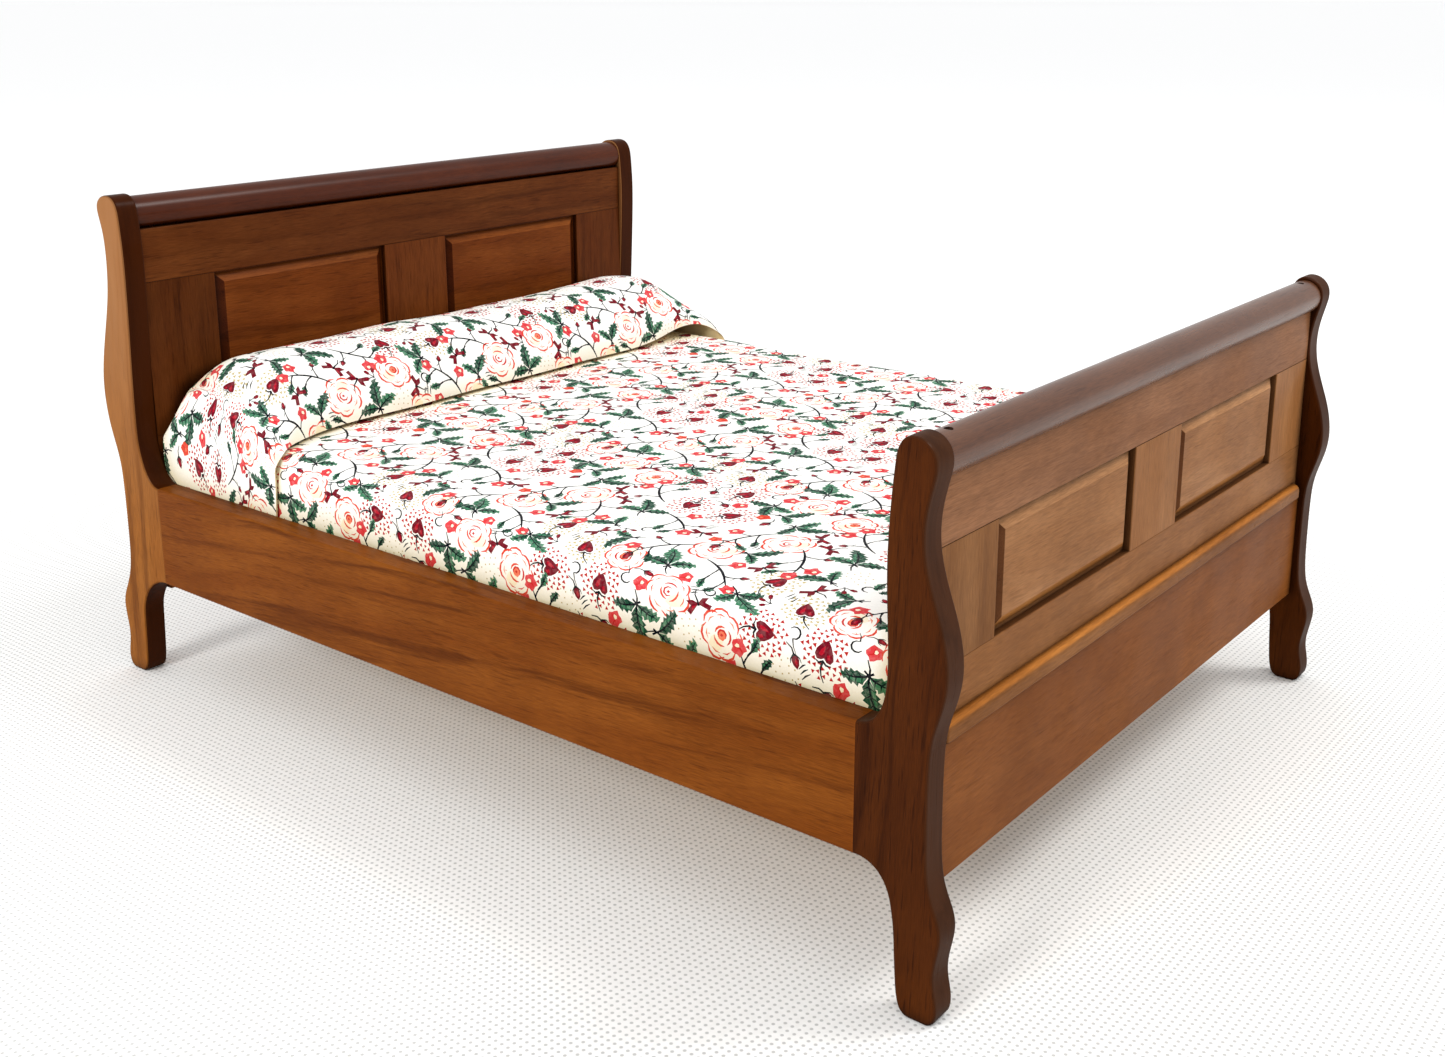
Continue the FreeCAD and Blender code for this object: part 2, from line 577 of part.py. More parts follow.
half, cr = "cover_half", D["cover_round"]
outer = pillow_block("mattress_cover_outside", ("-cover_half", "cover_half"), ("-cover_foot", "cover_head"), ("cover_low", "cover_high"), cr)
inner = pillow_block("mattress_cover_inside", ("-cover_half + cover_thick", "cover_half - cover_thick"), ("-cover_foot + cover_thick", "cover_head - cover_thick"), ("cover_low + cover_thick", "cover_high - cover_thick"), cr - D["cover_thick"])
node(cut("mattress_cover_skin", outer, [inner]), "mattress_cover")
off = "cover_thick - core_gap" 
g = "(cover_thick + core_gap)"
node(pillow_block("mattress_core_foam", ("-cover_half + " + g, "cover_half - " + g), ("-cover_foot + " + g, "cover_head - " + g), ("cover_low + " + g, "cover_high - " + g), cr - D["cover_thick"] - D["core_gap"]), "mattress_core")

# Section of the bolster across its length, (y, z), over the mattress top.
TOP = D["cover_high"]
BOLSTER = [(56.9, TOP + 1.6), (57.5, TOP + 5.0), (60.2, TOP + 8.8), (64.8, TOP + 11.9), (70.2, TOP + 13.0), (75.6, TOP + 12.4), (80.2, TOP + 10.0), (82.9, TOP + 6.6), (83.7, TOP + 3.0)]


def section(points, x, close):
    """A closed wire at one X from a smooth top line and straight sides below it."""
    vs = [V(x, y, z) for y, z in points]
    c = Part.BSplineCurve()
    c.interpolate(Points=vs)
    tail = [V(x, y, z) for y, z in close]
    edges = [c.toShape()]
    ring = [vs[-1]] + tail + [vs[0]]
    for a, b in zip(ring, ring[1:]):
        edges.append(Part.LineSegment(a, b).toShape())
    return Part.Face(Part.Wire(edges))


bol = doc.addObject("Part::Feature", "bolster_core_foam")
z0 = TOP + 0.35
solid = section(BOLSTER, -D["bolster_half"], [(83.7, z0), (56.9, z0)]).extrude(V(2 * D["bolster_half"], 0, 0))
ends = [e for e in solid.Edges if abs(abs(e.CenterOfMass.x) - D["bolster_half"]) < 1e-3 and e.BoundBox.ZMax > TOP + 4]
solid = solid.makeFillet(2.4, [e for e in ends if e.Length > 20])
bol.Shape = solid
node(bol, "bolster_core")


def grown(points, by):
    """The section's top line pushed out by a clearance, away from its middle."""
    out = []
    n = len(points)
    for i, (y, z) in enumerate(points):
        a, b = points[max(i - 1, 0)], points[min(i + 1, n - 1)]
        ty, tz = b[0] - a[0], b[1] - a[1]
        k = math.hypot(ty, tz)
        out.append((y - tz / k * by, z + ty / k * by))
    return out


lowz, frt = D["flap_low"], D["flap_front"]
inside = grown(BOLSTER, 0.25)
outside = grown(BOLSTER, 0.25 + D["flap_thick"])
flat_in, flat_out = TOP + 0.1, TOP + 0.1 + D["flap_thick"]
inside = [(inside[0][0] - 0.2, flat_in + 0.9)] + inside
outside = [(outside[0][0] - 0.2, flat_out + 0.7)] + outside
hi_y = outside[-1][0]
out_face = section(outside, -D["flap_half"], [(hi_y, lowz), (frt, lowz), (frt, flat_out), (outside[0][0] - 0.5, flat_out)])
out_solid = out_face.extrude(V(2 * D["flap_half"], 0, 0))
xi = D["flap_half"] - D["flap_thick"]
in_face = section(inside, -xi, [(inside[-1][0], lowz - 5), (frt - 5, lowz - 5), (frt - 5, flat_in), (inside[0][0] - 0.5, flat_in)])
in_solid = in_face.extrude(V(2 * xi, 0, 0))
skin = out_solid.cut(in_solid)
# below the mattress top only the two side flaps are left: the back hem ends above it
skin = skin.cut(Part.makeBox(2 * xi, 60, flat_in - lowz + 5, V(-xi, frt - 5, lowz - 5)))
cov = doc.addObject("Part::Feature", "bolster_cover_skin")
cov.Shape = skin
node(cov, "bolster_cover")

# ------------------------------------------------------------------- output
doc.recompute()
bad = [o.Name for o in doc.Objects if "Invalid" in o.State or "Error" in o.State]
if bad:
    raise RuntimeError("failed objects: %s" % bad)
os.makedirs("parts", exist_ok=True)
total = None
for label, obj in NODES:
    shape = obj.Shape
    if shape.isNull() or not shape.isValid():
        raise RuntimeError("bad shape: " + label)
    if not shape.Solids:
        raise RuntimeError("no solid: " + label)
    shape.exportStep("parts/%s.step" % label)
    bb = shape.BoundBox
    print("%-22s solids %d  vol %9.2f  x %.2f %.2f  y %.2f %.2f  z %.2f %.2f" % (label, len(shape.Solids), shape.Volume, bb.XMin, bb.XMax, bb.YMin, bb.YMax, bb.ZMin, bb.ZMax))
print("nodes", len(NODES))
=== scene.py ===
import math
import random

import bmesh
import bpy
import numpy as np
from mathutils import Matrix, Vector
from mathutils.geometry import delaunay_2d_cdt


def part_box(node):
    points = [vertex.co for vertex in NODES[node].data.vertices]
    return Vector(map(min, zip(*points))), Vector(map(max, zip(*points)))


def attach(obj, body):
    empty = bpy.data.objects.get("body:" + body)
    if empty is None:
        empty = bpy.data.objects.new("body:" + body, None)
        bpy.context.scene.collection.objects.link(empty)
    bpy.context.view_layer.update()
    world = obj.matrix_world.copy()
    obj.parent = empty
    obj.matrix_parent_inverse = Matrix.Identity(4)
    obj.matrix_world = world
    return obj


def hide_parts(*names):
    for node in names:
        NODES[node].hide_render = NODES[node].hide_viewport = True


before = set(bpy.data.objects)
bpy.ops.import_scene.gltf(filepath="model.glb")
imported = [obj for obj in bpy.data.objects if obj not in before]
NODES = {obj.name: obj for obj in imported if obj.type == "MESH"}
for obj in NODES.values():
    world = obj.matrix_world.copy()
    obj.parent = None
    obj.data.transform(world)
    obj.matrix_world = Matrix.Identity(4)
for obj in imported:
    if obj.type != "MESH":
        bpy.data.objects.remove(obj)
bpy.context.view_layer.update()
MM = 0.001
scene = bpy.context.scene


# ------------------------------------------------------------- camera, stage
def camera():
    cam = bpy.data.cameras.new("camera")
    cam.sensor_width = 36.0
    cam.sensor_fit = "HORIZONTAL"
    cam.lens = 39.70
    cam.shift_y = -0.0889
    cam.clip_start = 0.004
    cam.clip_end = 60.0
    ob = bpy.data.objects.new("camera", cam)
    scene.collection.objects.link(ob)
    right = Vector((0.621712, -0.783244, -0.001686))
    up = Vector((0.198287, 0.15531, 0.967761))
    back = Vector((-0.757731, -0.602003, 0.251866))
    m = Matrix((right, up, back)).transposed().to_4x4()
    m.translation = Vector((-0.235031, -0.189144, 0.135574))
    ob.matrix_world = m
    scene.camera = ob


camera()
scene.view_settings.view_transform = "Standard"
scene.view_settings.look = "None"


def link(ob):
    scene.collection.objects.link(ob)
    return ob


# --------------------------------------------------------------- node helper
class Net:
    """A material's node tree, built by calls: net.add(type, inputs...)."""

    def __init__(self, name):
        self.mat = bpy.data.materials.new(name)
        self.mat.use_nodes = True
        self.nt = self.mat.node_tree
        self.nt.nodes.clear()
        self.out = self.nt.nodes.new("ShaderNodeOutputMaterial")

    def put(self, socket, value):
        if isinstance(value, bpy.types.NodeSocket):
            self.nt.links.new(value, socket)
        elif hasattr(value, "__len__") and socket.type == "RGBA" and len(value) == 3:
            socket.default_value = (*value, 1.0)
        else:
            socket.default_value = value

    def add(self, kind, ins=None, **props):
        n = self.nt.nodes.new("ShaderNode" + kind)
        for k, v in props.items():
            setattr(n, k, v)
        for k, v in (ins or {}).items():
            self.put(n.inputs[k], v)
        return n

    def math(self, op, a, b=0.0, c=0.0, clamp=False):
        n = self.add("Math", {0: a, 1: b}, operation=op, use_clamp=clamp)
        if op in ("MULTIPLY_ADD", "COMPARE", "SMOOTH_MIN", "SMOOTH_MAX"):
            self.put(n.inputs[2], c)
        return n.outputs[0]

    def mix(self, fac, a, b, kind="MIX"):
        n = self.add("MixRGB", {0: fac, 1: a, 2: b}, blend_type=kind)
        return n.outputs[0]

    def ramp(self, fac, lo, hi, a=0.0, b=1.0):
        n = self.add("MapRange", {"Value": fac, "From Min": lo, "From Max": hi, "To Min": a, "To Max": b}, interpolation_type="SMOOTHSTEP")
        return n.outputs[0]

    def noise(self, vec, scale=1.0, detail=3.0, rough=0.5, distort=0.0):
        n = self.add("TexNoise", {"Vector": vec, "Scale": scale, "Detail": detail, "Roughness": rough, "Distortion": distort})
        return n.outputs[0]

    def principled(self, **ins):
        n = self.add("BsdfPrincipled", ins)
        self.nt.links.new(n.outputs[0], self.out.inputs[0])
        return n


def grain_vector(net, axis, seed, along, across, wander=0.0009, skew=0.0):
    """Object coordinates stretched along the grain, in noise units, with a slight wander."""
    co = net.add("TexCoord").outputs["Object"]
    warp = net.add("TexNoise", {"Vector": co, "Scale": 26.0 + seed, "Detail": 1.0})
    moved = net.add("VectorMath", {0: warp.outputs["Color"], 1: (0.5, 0.5, 0.5)}, operation="SUBTRACT").outputs[0]
    moved = net.add("VectorMath", {0: moved, 1: (wander * 4, wander * 4, wander * 4)}, operation="MULTIPLY").outputs[0]
    co2 = net.add("VectorMath", {0: co, 1: moved}, operation="ADD").outputs[0]
    s = net.add("SeparateXYZ", {0: co2})
    g, a, b = {"x": (0, 1, 2), "y": (1, 0, 2), "z": (2, 0, 1)}[axis]
    gs, aa, bb = s.outputs[g], s.outputs[a], s.outputs[b]
    if skew:
        bb = net.math("MULTIPLY_ADD", gs, skew, bb)
    v = net.add("CombineXYZ", {0: net.math("MULTIPLY_ADD", gs, along, seed * 3.7), 1: net.math("MULTIPLY_ADD", aa, across, seed * 1.3), 2: net.math("MULTIPLY", bb, across)})
    return v.outputs[0], co


def wood(name, axis, base, dark, light, seed=0.0, rough=0.34, skew=0.0, streak=0.55, arris=(0.55, 0.9), figure=1.0, shade=0.88, fade=None, coat=0.045, front=None, slope_light_shade=False, pore=0.62, bead_highlight_shade=False, coat_rough=0.24):
    """Stained, satin-lacquered walnut with its grain along one axis."""
    net = Net(name)
    v_fig, co = grain_vector(net, axis, seed, 20.0, 150.0, 0.0012, skew)
    v_str, _ = grain_vector(net, axis, seed + 5, 9.0, 330.0, 0.0008, skew)
    v_por, _ = grain_vector(net, axis, seed + 9, 170.0, 2700.0, 0.0002, skew * 0.5)
    v_fib, _ = grain_vector(net, axis, seed + 2, 420.0, 8200.0, 0.0001, skew * 0.5)
    fig = net.noise(v_fig, 1.0, 4.0, 0.55, 0.4)
    stk = net.noise(v_str, 1.0, 5.0, 0.6, 0.2)
    por = net.noise(v_por, 1.0, 2.0, 0.5)
    fib = net.noise(v_fib, 1.0, 2.0, 0.6)
    blot = net.noise(co, 38.0 + seed, 3.0, 0.55)
    c = net.mix(net.ramp(fig, 0.36, 0.68, 0.0, figure), base, light)
    c = net.mix(net.ramp(stk, 0.50, 0.70, 0.0, min(1.0, streak * 1.35)), c, dark)
    c = net.mix(net.ramp(blot, 0.38, 0.66, 0.0, 0.42), c, net.mix(0.5, base, dark))
    pores = net.ramp(por, 0.58, 0.70, 0.0, pore)
    c = net.mix(pores, c, dark)
    fine = net.ramp(fib, 0.30, 0.70, 0.82, 1.13)
    c = net.mix(1.0, c, net.add("CombineColor", {0: fine, 1: fine, 2: fine}).outputs[0], "MULTIPLY")
    if fade:
        # paler over one part of the piece, along one axis: fade = (axis, from, to, colour)
        s = net.add("SeparateXYZ", {0: co}).outputs["xyz".index(fade[0])]
        f = net.ramp(s, fade[1], fade[2], 0.0, 1.0)
        f = net.math("MULTIPLY", f, net.ramp(stk, 0.35, 0.75, 1.0, 0.72))
        pale = net.mix(net.ramp(fig, 0.36, 0.68, 0.0, 0.5), fade[3], tuple(min(1, k * 1.25) for k in fade[3]))
        pale = net.mix(net.ramp(stk, 0.5, 0.8, 0.0, 0.45), pale, base)
        c = net.mix(f, c, pale)
    geo = net.add("NewGeometry")
    if front:
        # faces not turned along x (the front, back and shaped edges) are darker than the broad sides, towards the front
        # tones
        nx = net.math("ABSOLUTE", net.add("SeparateXYZ", {0: geo.outputs["Normal"]}).outputs[0])
        c = net.mix(net.ramp(nx, 0.45, 0.88, 1.0, 0.0), c, net.mix(net.ramp(stk, 0.4, 0.7, 0.15, 0.7), *front))
    if slope_light_shade:
        # a fielded panel, lit and shaded in its colour by the way each slope faces: a painted highlight on the upward
        # slope, a painted golden highlight on the downward slope, and painted shade on the two upright slopes
        n = net.add("SeparateXYZ", {0: geo.outputs["Normal"]})
        c = net.mix(net.ramp(n.outputs[2], 0.05, 0.18, 0.0, 0.9), c, net.mix(1.0, c, (1.62, 1.80, 2.05), "MULTIPLY"))
        c = net.mix(net.ramp(net.math("MULTIPLY", n.outputs[2], -1.0), 0.05, 0.18, 0.0, 0.9), c, net.mix(1.0, c, (1.18, 1.02, 0.62), "MULTIPLY"))
        c = net.mix(net.ramp(net.math("ABSOLUTE", n.outputs[0]), 0.05, 0.18, 0.0, 0.92), c, net.mix(1.0, c, (0.34, 0.24, 0.18), "MULTIPLY"))
    if bead_highlight_shade:
        # a small bead: a painted highlight along its top and painted shade along its underside
        n = net.add("SeparateXYZ", {0: geo.outputs["Normal"]})
        c = net.mix(net.ramp(n.outputs[2], 0.35, 0.75, 0.0, 0.95), c, net.mix(1.0, c, (2.3, 2.1, 1.3), "MULTIPLY"))
        c = net.mix(net.ramp(net.math("MULTIPLY", n.outputs[2], -1.0), 0.2, 0.6, 0.0, 0.9), c, net.mix(1.0, c, (0.4, 0.35, 0.3), "MULTIPLY"))
    # edges found by the bevel node take the arris tone: darker where arris is below 1, and a painted highlight where it
    # is above 1 (the side rails and mouldings)
    bev = net.add("Bevel", {"Radius": 0.00055}, samples=4)
    dot = net.add("VectorMath", {0: bev.outputs[0], 1: geo.outputs["Normal"]}, operation="DOT_PRODUCT").outputs["Value"]
    edge = net.ramp(net.math("SUBTRACT", 1.0, dot), 0.012, 0.16)
    edge_tone_and_highlight = net.math("MULTIPLY", edge, net.ramp(blot, 0.30, 0.62, arris[1], arris[1] * 0.45))
    c = net.mix(edge_tone_and_highlight, c, tuple(k * arris[0] for k in base))
    # darker in recesses, found by ambient occlusion: painted shade under the crest roll and round the panels, and
    # finish residue in the grooves
    ao = net.add("AmbientOcclusion", {"Distance": 0.0030}, samples=6).outputs["AO"]
    c = net.mix(net.ramp(ao, 0.35, 0.97, shade, 0.0), c, tuple(k * 0.35 for k in dark))
    h = net.math("ADD", net.math("MULTIPLY", fib, 0.35), net.math("MULTIPLY", net.ramp(por, 0.58, 0.72), -0.9))
    bump = net.add("Bump", {"Strength": 0.32, "Distance": 0.00004, "Height": h})
    r = net.ramp(net.noise(co, 90.0, 3.0), 0.3, 0.7, rough - 0.05, rough + 0.09)
    r = net.math("ADD", r, net.math("MULTIPLY", pores, 0.2))
    net.principled(**{"Base Color": c, "Roughness": r, "Normal": bump.outputs[0], "Coat Weight": coat, "Coat Roughness": coat_rough, "IOR": 1.07, "Specular IOR Level": 0.5})
    return net.mat


def raw_wood(name, axis, base, dark, seed=0.0):
    """Bare, unstained wood for hidden strips, dowels and the base."""
    net = Net(name)
    v, co = grain_vector(net, axis, seed, 26.0, 420.0)
    v2, _ = grain_vector(net, axis, seed + 3, 260.0, 4200.0)
    n = net.noise(v, 1.0, 5.0, 0.6)
    f = net.noise(v2, 1.0, 2.0)
    c = net.mix(net.ramp(n, 0.35, 0.7), base, dark)
    c = net.mix(net.ramp(f, 0.55, 0.75, 0.0, 0.4), c, dark)
    bump = net.add("Bump", {"Strength": 0.3, "Distance": 0.00004, "Height": f})
    net.principled(**{"Base Color": c, "Roughness": 0.75, "Normal": bump.outputs[0]})
    return net.mat


# ---------------------------------------------------------------- the print
# A small all-over floral, drawn as flat shapes in millimetres on a square
# repeat. Each shape is (points, colour name); later shapes lie on top.
TILE = 42.0


def stroke(pts, w0, w1=None, wm=None):
    """A brush line through pts: width w0 at the start, wm in the middle, w1 at the end."""
    w1 = w0 if w1 is None else w1
    wm = (w0 + w1) / 2 if wm is None else wm
    n = len(pts)
    lo, hi = [], []
    for i, (x, y) in enumerate(pts):
        ax, ay = pts[max(i - 1, 0)]
        bx, by = pts[min(i + 1, n - 1)]
        dx, dy = bx - ax, by - ay
        d = math.hypot(dx, dy) or 1.0
        t = i / (n - 1)
        w = (w0 * (1 - t) * (1 - 2 * t) + wm * 4 * t * (1 - t) + w1 * t * (2 * t - 1)) / 2
        nx, ny = -dy / d * w, dx / d * w
        hi.append((x + nx, y + ny))
        lo.append((x - nx, y - ny))
    return hi + lo[::-1]


def bend(x0, y0, a, length, turn, n=5):
    """Points of a line that starts at angle a (degrees) and turns as it goes."""
    out = [(x0, y0)]
    step = length / n
    a = math.radians(a)
    da = math.radians(turn) / n
    for _ in range(n):
        a += da / 2
        x0 += step * math.cos(a)
        y0 += step * math.sin(a)
        a += da / 2
        out.append((x0, y0))
    return out


def blob(x, y, r, n, rough, rnd, sx=1.0, sy=1.0, a=0.0):
    c, s = math.cos(a), math.sin(a)
    out = []
    for i in range(n):
        t = 2 * math.pi * i / n
        q = r * (1 + rough * (rnd.random() - 0.5) * 2)
        px, py = q * sx * math.cos(t), q * sy * math.sin(t)
        out.append((x + px * c - py * s, y + px * s + py * c))
    return out


def arc(x, y, r, a0, a1, n=6, sy=1.0):
    return [(x + r * math.cos(math.radians(a0 + (a1 - a0) * i / n)), y + r * sy * math.sin(math.radians(a0 + (a1 - a0) * i / n))) for i in range(n + 1)]


def rose(rnd, r=4.2, hue="coral", deep=False):
    """An open garden rose: a pale wash under loose, broken brush outlines."""
    out = []
    pet = 7
    ring = []
    for i in range(pet * 3):
        t = 2 * math.pi * i / (pet * 3)
        q = r * (0.86 + 0.12 * abs(math.sin(pet * t / 2)) + 0.05 * (rnd.random() - 0.5))
        ring.append((q * math.cos(t), q * 0.9 * math.sin(t)))
    out.append((ring, "blush"))
    out.append((blob(r * 0.30, -r * 0.36, r * 0.34, 8, 0.25, rnd, 1.15, 0.9), "butter"))
    # outer petals: broken scallops of uneven length
    for i in range(pet):
        a = 360.0 * i / pet + 6 + 10 * rnd.random()
        q = r * (0.42 + 0.07 * rnd.random())
        cx, cy = 0.57 * r * math.cos(math.radians(a)), 0.53 * r * math.sin(math.radians(a))
        cut = rnd.choice((38, 50, 62, 24))
        out.append((stroke(arc(cx, cy, q, a - 70, a + cut, 4), 0.10, 0.16, 0.44), hue))
        out.append((stroke(arc(cx * 0.72, cy * 0.72, q * 0.8, a - 34, a + 30, 2), 0.06, 0.06, 0.24), "peach" if i % 3 else hue))
        if i % 2:
            x, y = 0.80 * r * math.cos(math.radians(a)), 0.74 * r * math.sin(math.radians(a))
            out.append(([(x, y), (x * 0.78 + 0.08, y * 0.78 + 0.05), (x * 0.8 - 0.10, y * 0.8 - 0.06)], "peach"))
    # inner petals round the heart of the flower
    for k, (a0, q) in enumerate(((20, 0.40), (146, 0.37), (262, 0.42))):
        out.append((stroke(arc(0.06 * r, 0.03 * r, r * q, a0, a0 + 96, 4), 0.08, 0.12, 0.38), hue if k else "rose"))
    if deep:
        out.append((blob(0.03 * r, 0.0, r * 0.24, 7, 0.12, rnd), "peach"))
    out.append((stroke(arc(0.03 * r, 0.02 * r, r * 0.21, 40, 290, 5), 0.12, 0.10, 0.36), "rose"))
    out.append((blob(0.03 * r, 0.0, r * 0.08, 4, 0.1, rnd), "rose"))
    return out


def berry(rnd, dots="red", r=4.0):
    """A ripe seed head in a halo of dots."""
    out = []
    golden = math.pi * (3 - math.sqrt(5))
    n = 58
    for i in range(n):
        q = r * math.sqrt((i + 0.5) / n)
        if q < r * 0.42:
            continue
        t = i * golden
        x, y = q * math.cos(t), q * 1.06 * math.sin(t)
        s = 0.36 + 0.10 * rnd.random()
        a = rnd.random() * 3
        out.append(([(x + s * math.cos(a + k * 2.094), y + s * math.sin(a + k * 2.094)) for k in range(3)], dots))
    k0 = len(out)
    body = [(0, -1.85), (0.75, -1.1), (1.3, -0.15), (1.42, 0.6), (1.0, 1.15), (0.4, 1.05), (0, 0.72), (-0.45, 1.1), (-1.05, 1.12), (-1.4, 0.5), (-1.22, -0.25), (-0.7, -1.15)]
    out.append((body, "wine"))
    out.append(([(0.1, -1.0), (0.62, -0.3), (0.85, 0.45), (0.45, 0.55), (0.12, 0.1)], "scarlet"))
    out.append(([(-0.75, -0.1), (-0.35, 0.15), (-0.55, 0.7), (-0.95, 0.6)], "scarlet"))
    out.append((stroke([(-1.25, 1.35), (-0.5, 1.5), (0.05, 1.15), (0.6, 1.55), (1.3, 1.3)], 0.1, 0.1, 0.36), "navy"))
    out.append((stroke([(0.05, 1.2), (0.2, 2.2), (-0.1, 3.1), (-0.65, 3.9)], 0.34, 0.14), "navy"))
    return out[:k0] + place(out[k0:], 0, 0, 0, 1.14)


def leaf(rnd, length=5.2, wide=1.5, teeth=4, turn=0.0, pale=False):
    """One saw-edged leaf along +X, with midrib and side veins."""
    up, dn = [], []
    for i in range(teeth + 1):
        t = i / (teeth + 0.6)
        w = wide * math.sin(math.pi * min(1, t * 0.92 + 0.06)) ** 0.8
        x = length * t
        up += [(x, w * 0.66), (x + length * 0.10, w * 1.10)]
        dn += [(x, -w * 0.66), (x + length * 0.10, -w * 1.05)]
    pts = [(-0.1, 0)] + dn[1:] + [(length, 0)] + up[1:][::-1]
    c = turn / length
    out = [([(x, y + c * x * x) for x, y in pts], "leaf_light" if pale else "leaf")]
    mid = [(x * length, c * (x * length) ** 2) for x in (-0.28, 0.15, 0.55, 0.93)]
    half = [(0.3, 0.05), (length * 0.3, wide * 0.60), (length * 0.62, wide * 0.50), (length * 0.86, 0.06)]
    out.append(([(x, y + c * x * x) for x, y in half], "leaf" if pale else "leaf_light"))
    out.append((stroke(mid, 0.34, 0.10, 0.30), "navy"))
    for t in (0.18, 0.42, 0.66):
        for s in (1, -1):
            x = t * length
            w = wide * (0.86 - 0.3 * abs(t - 0.4))
            tip = (x + length * 0.17, s * w + c * (x + length * 0.17) ** 2)
            out.append(([(x, c * x * x - 0.02 * s), tip, (x + 0.34, c * x * x)], "navy" if s < 0 else "leaf_dark"))
    return out


def place(shapes, x, y, a=0.0, s=1.0, flip=False):
    c, n = math.cos(math.radians(a)) * s, math.sin(math.radians(a)) * s
    out = []
    for pts, col in shapes:
        q = []
        for px, py in pts:
            if flip:
                py = -py
            q.append((x + px * c - py * n, y + px * n + py * c))
        out.append((q, col))
    return out


def trio(rnd, s=1.0, pale=False):
    """Three leaves on a short twig."""
    out = [(stroke([(-2.6, -0.5), (-1.3, 0.1), (0, 0)], 0.2, 0.34), "navy")]
    out += place(leaf(rnd, 5.4, 1.55, 5, 0.4, pale), 0.1, 0.0, 4, s)
    out += place(leaf(rnd, 4.3, 1.35, 4, 0.3, not pale), -0.2, 0.2, 62, s)
    out += place(leaf(rnd, 4.2, 1.3, 4, -0.3, pale), -0.2, -0.2, -58, s)
    return out


def pair(rnd, s=1.0):
    out = [(stroke([(-2.2, 0), (-1.0, 0.15), (0.1, 0)], 0.18, 0.3), "navy")]
    out += place(leaf(rnd, 5.0, 1.35, 5, 0.3), 0.0, 0.1, 24, s)
    out += place(leaf(rnd, 4.0, 1.15, 4, -0.2, True), -0.1, -0.1, -36, s)
    return out


def blossom(rnd, r=1.35, col="pink"):
    """A small half-open flower, five uneven petals."""
    pts = []
    for i in range(15):
        t = 2 * math.pi * i / 15
        q = r * (0.62 + 0.42 * abs(math.sin(2.5 * t + 0.4))) * (0.9 + 0.2 * rnd.random())
        pts.append((q * math.cos(t), q * math.sin(t)))
    out = [(pts, col)]
    out.append((blob(r * 0.2, 0.1, r * 0.3, 5, 0.2, rnd), "butter" if col == "pink" else "peach"))
    out.append((stroke([(-r * 0.7, -r * 0.3), (-r * 0.1, -r * 0.15), (r * 0.1, r * 0.5)], 0.1, 0.1, 0.28), "rose"))
    return out


def bud(rnd, s=1.0):
    out = [([(0, 0.45), (0.7, 0.72), (1.55, 0.5), (2.1, 0.0), (1.5, -0.5), (0.7, -0.7), (0, -0.4)], "wine"),
           ([(0.5, 0.1), (1.1, 0.34), (1.6, 0.05), (1.0, -0.2)], "scarlet"),
           (stroke([(-2.0, -0.9), (-1.1, -0.15), (0.1, 0.0)], 0.16, 0.34), "navy"),
           (stroke([(-0.15, 0.1), (0.5, 0.85), (1.2, 0.95)], 0.3, 0.1), "navy"),
           (stroke([(-0.15, -0.1), (0.5, -0.8), (1.1, -0.95)], 0.3, 0.1), "leaf_dark")]
    return place(out, 0, 0, 0, s)


def twig(rnd, kind=0):
    """A forked navy twig, with buds, blossoms and little leaves on it."""
    main = bend(0, 0, 10, 10.0, 46 if kind % 2 else -42, 7)
    out = [(stroke(main, 0.20, 0.18, 0.46), "navy")]
    for k, (i, da, ln, tn) in enumerate(((2, 48, 3.6, 30), (3, -46, 3.8, -34), (5, 40, 3.0, 36), (6, -52, 2.6, -20))):
        x, y = main[i]
        bx, by = main[i - 1]
        a = math.degrees(math.atan2(y - by, x - bx)) + da
        b = bend(x, y, a, ln * 0.9, tn, 3)
        out.append((stroke(b, 0.36, 0.14), "navy"))
        ex, ey = b[-1]
        ea = math.degrees(math.atan2(b[-1][1] - b[-2][1], b[-1][0] - b[-2][0]))
        what = (k + kind) % 4
        if what == 0:
            out += place(blossom(rnd, 1.45, "pink"), ex, ey, ea)
        elif what == 1:
            out += place([(q, c) for q, c in leaf(rnd, 3.0, 0.85, 3, 0.2, True)], ex, ey, ea)
        elif what == 2:
            out += place(bud(rnd, 0.72) if kind < 3 else blossom(rnd, 1.2, "coral"), ex, ey, ea)
        else:
            out += place([(q, c) for q, c in leaf(rnd, 2.6, 0.8, 3, -0.2)], ex, ey, ea)
    ex, ey = main[-1]
    ea = math.degrees(math.atan2(main[-1][1] - main[-2][1], main[-1][0] - main[-2][0]))
    out += place(bud(rnd) if kind % 2 else blossom(rnd, 1.5, "pink"), ex + math.cos(math.radians(ea)), ey + math.sin(math.radians(ea)), ea)
    return out


def butterfly(rnd):
    out = [([(0, 0), (1.5, 0.95), (1.85, 0.4), (1.1, -0.05), (1.6, -0.75), (0.7, -0.7), (0, -0.15), (-0.7, -0.75), (-1.6, -0.7), (-1.0, -0.05), (-1.8, 0.5), (-1.3, 1.0)], "wine"),
           ([(0.35, 0.1), (1.2, 0.55), (0.9, 0.05)], "scarlet"),
           (stroke([(0, 0.2), (0.02, -0.5), (0.2, -1.4), (-0.1, -2.2)], 0.30, 0.12), "navy")]
    return out


def curl(rnd):
    return [(stroke(arc(0, 0, 1.0, -60, 190, 7), 0.14, 0.14, 0.34), "navy"), (stroke([(0.5, -0.85), (1.4, -1.6), (2.4, -2.0)], 0.26, 0.1), "navy")]


def ticks(rnd):
    out = []
    for k in range(3):
        out.append((stroke([(0.2 * k, 0.75 * k), (0.9 + 0.25 * k, 0.75 * k + 0.18), (1.9, 0.75 * k + 0.1)], 0.12, 0.1, 0.28), "navy" if k != 1 else "leaf_dark"))
    return out


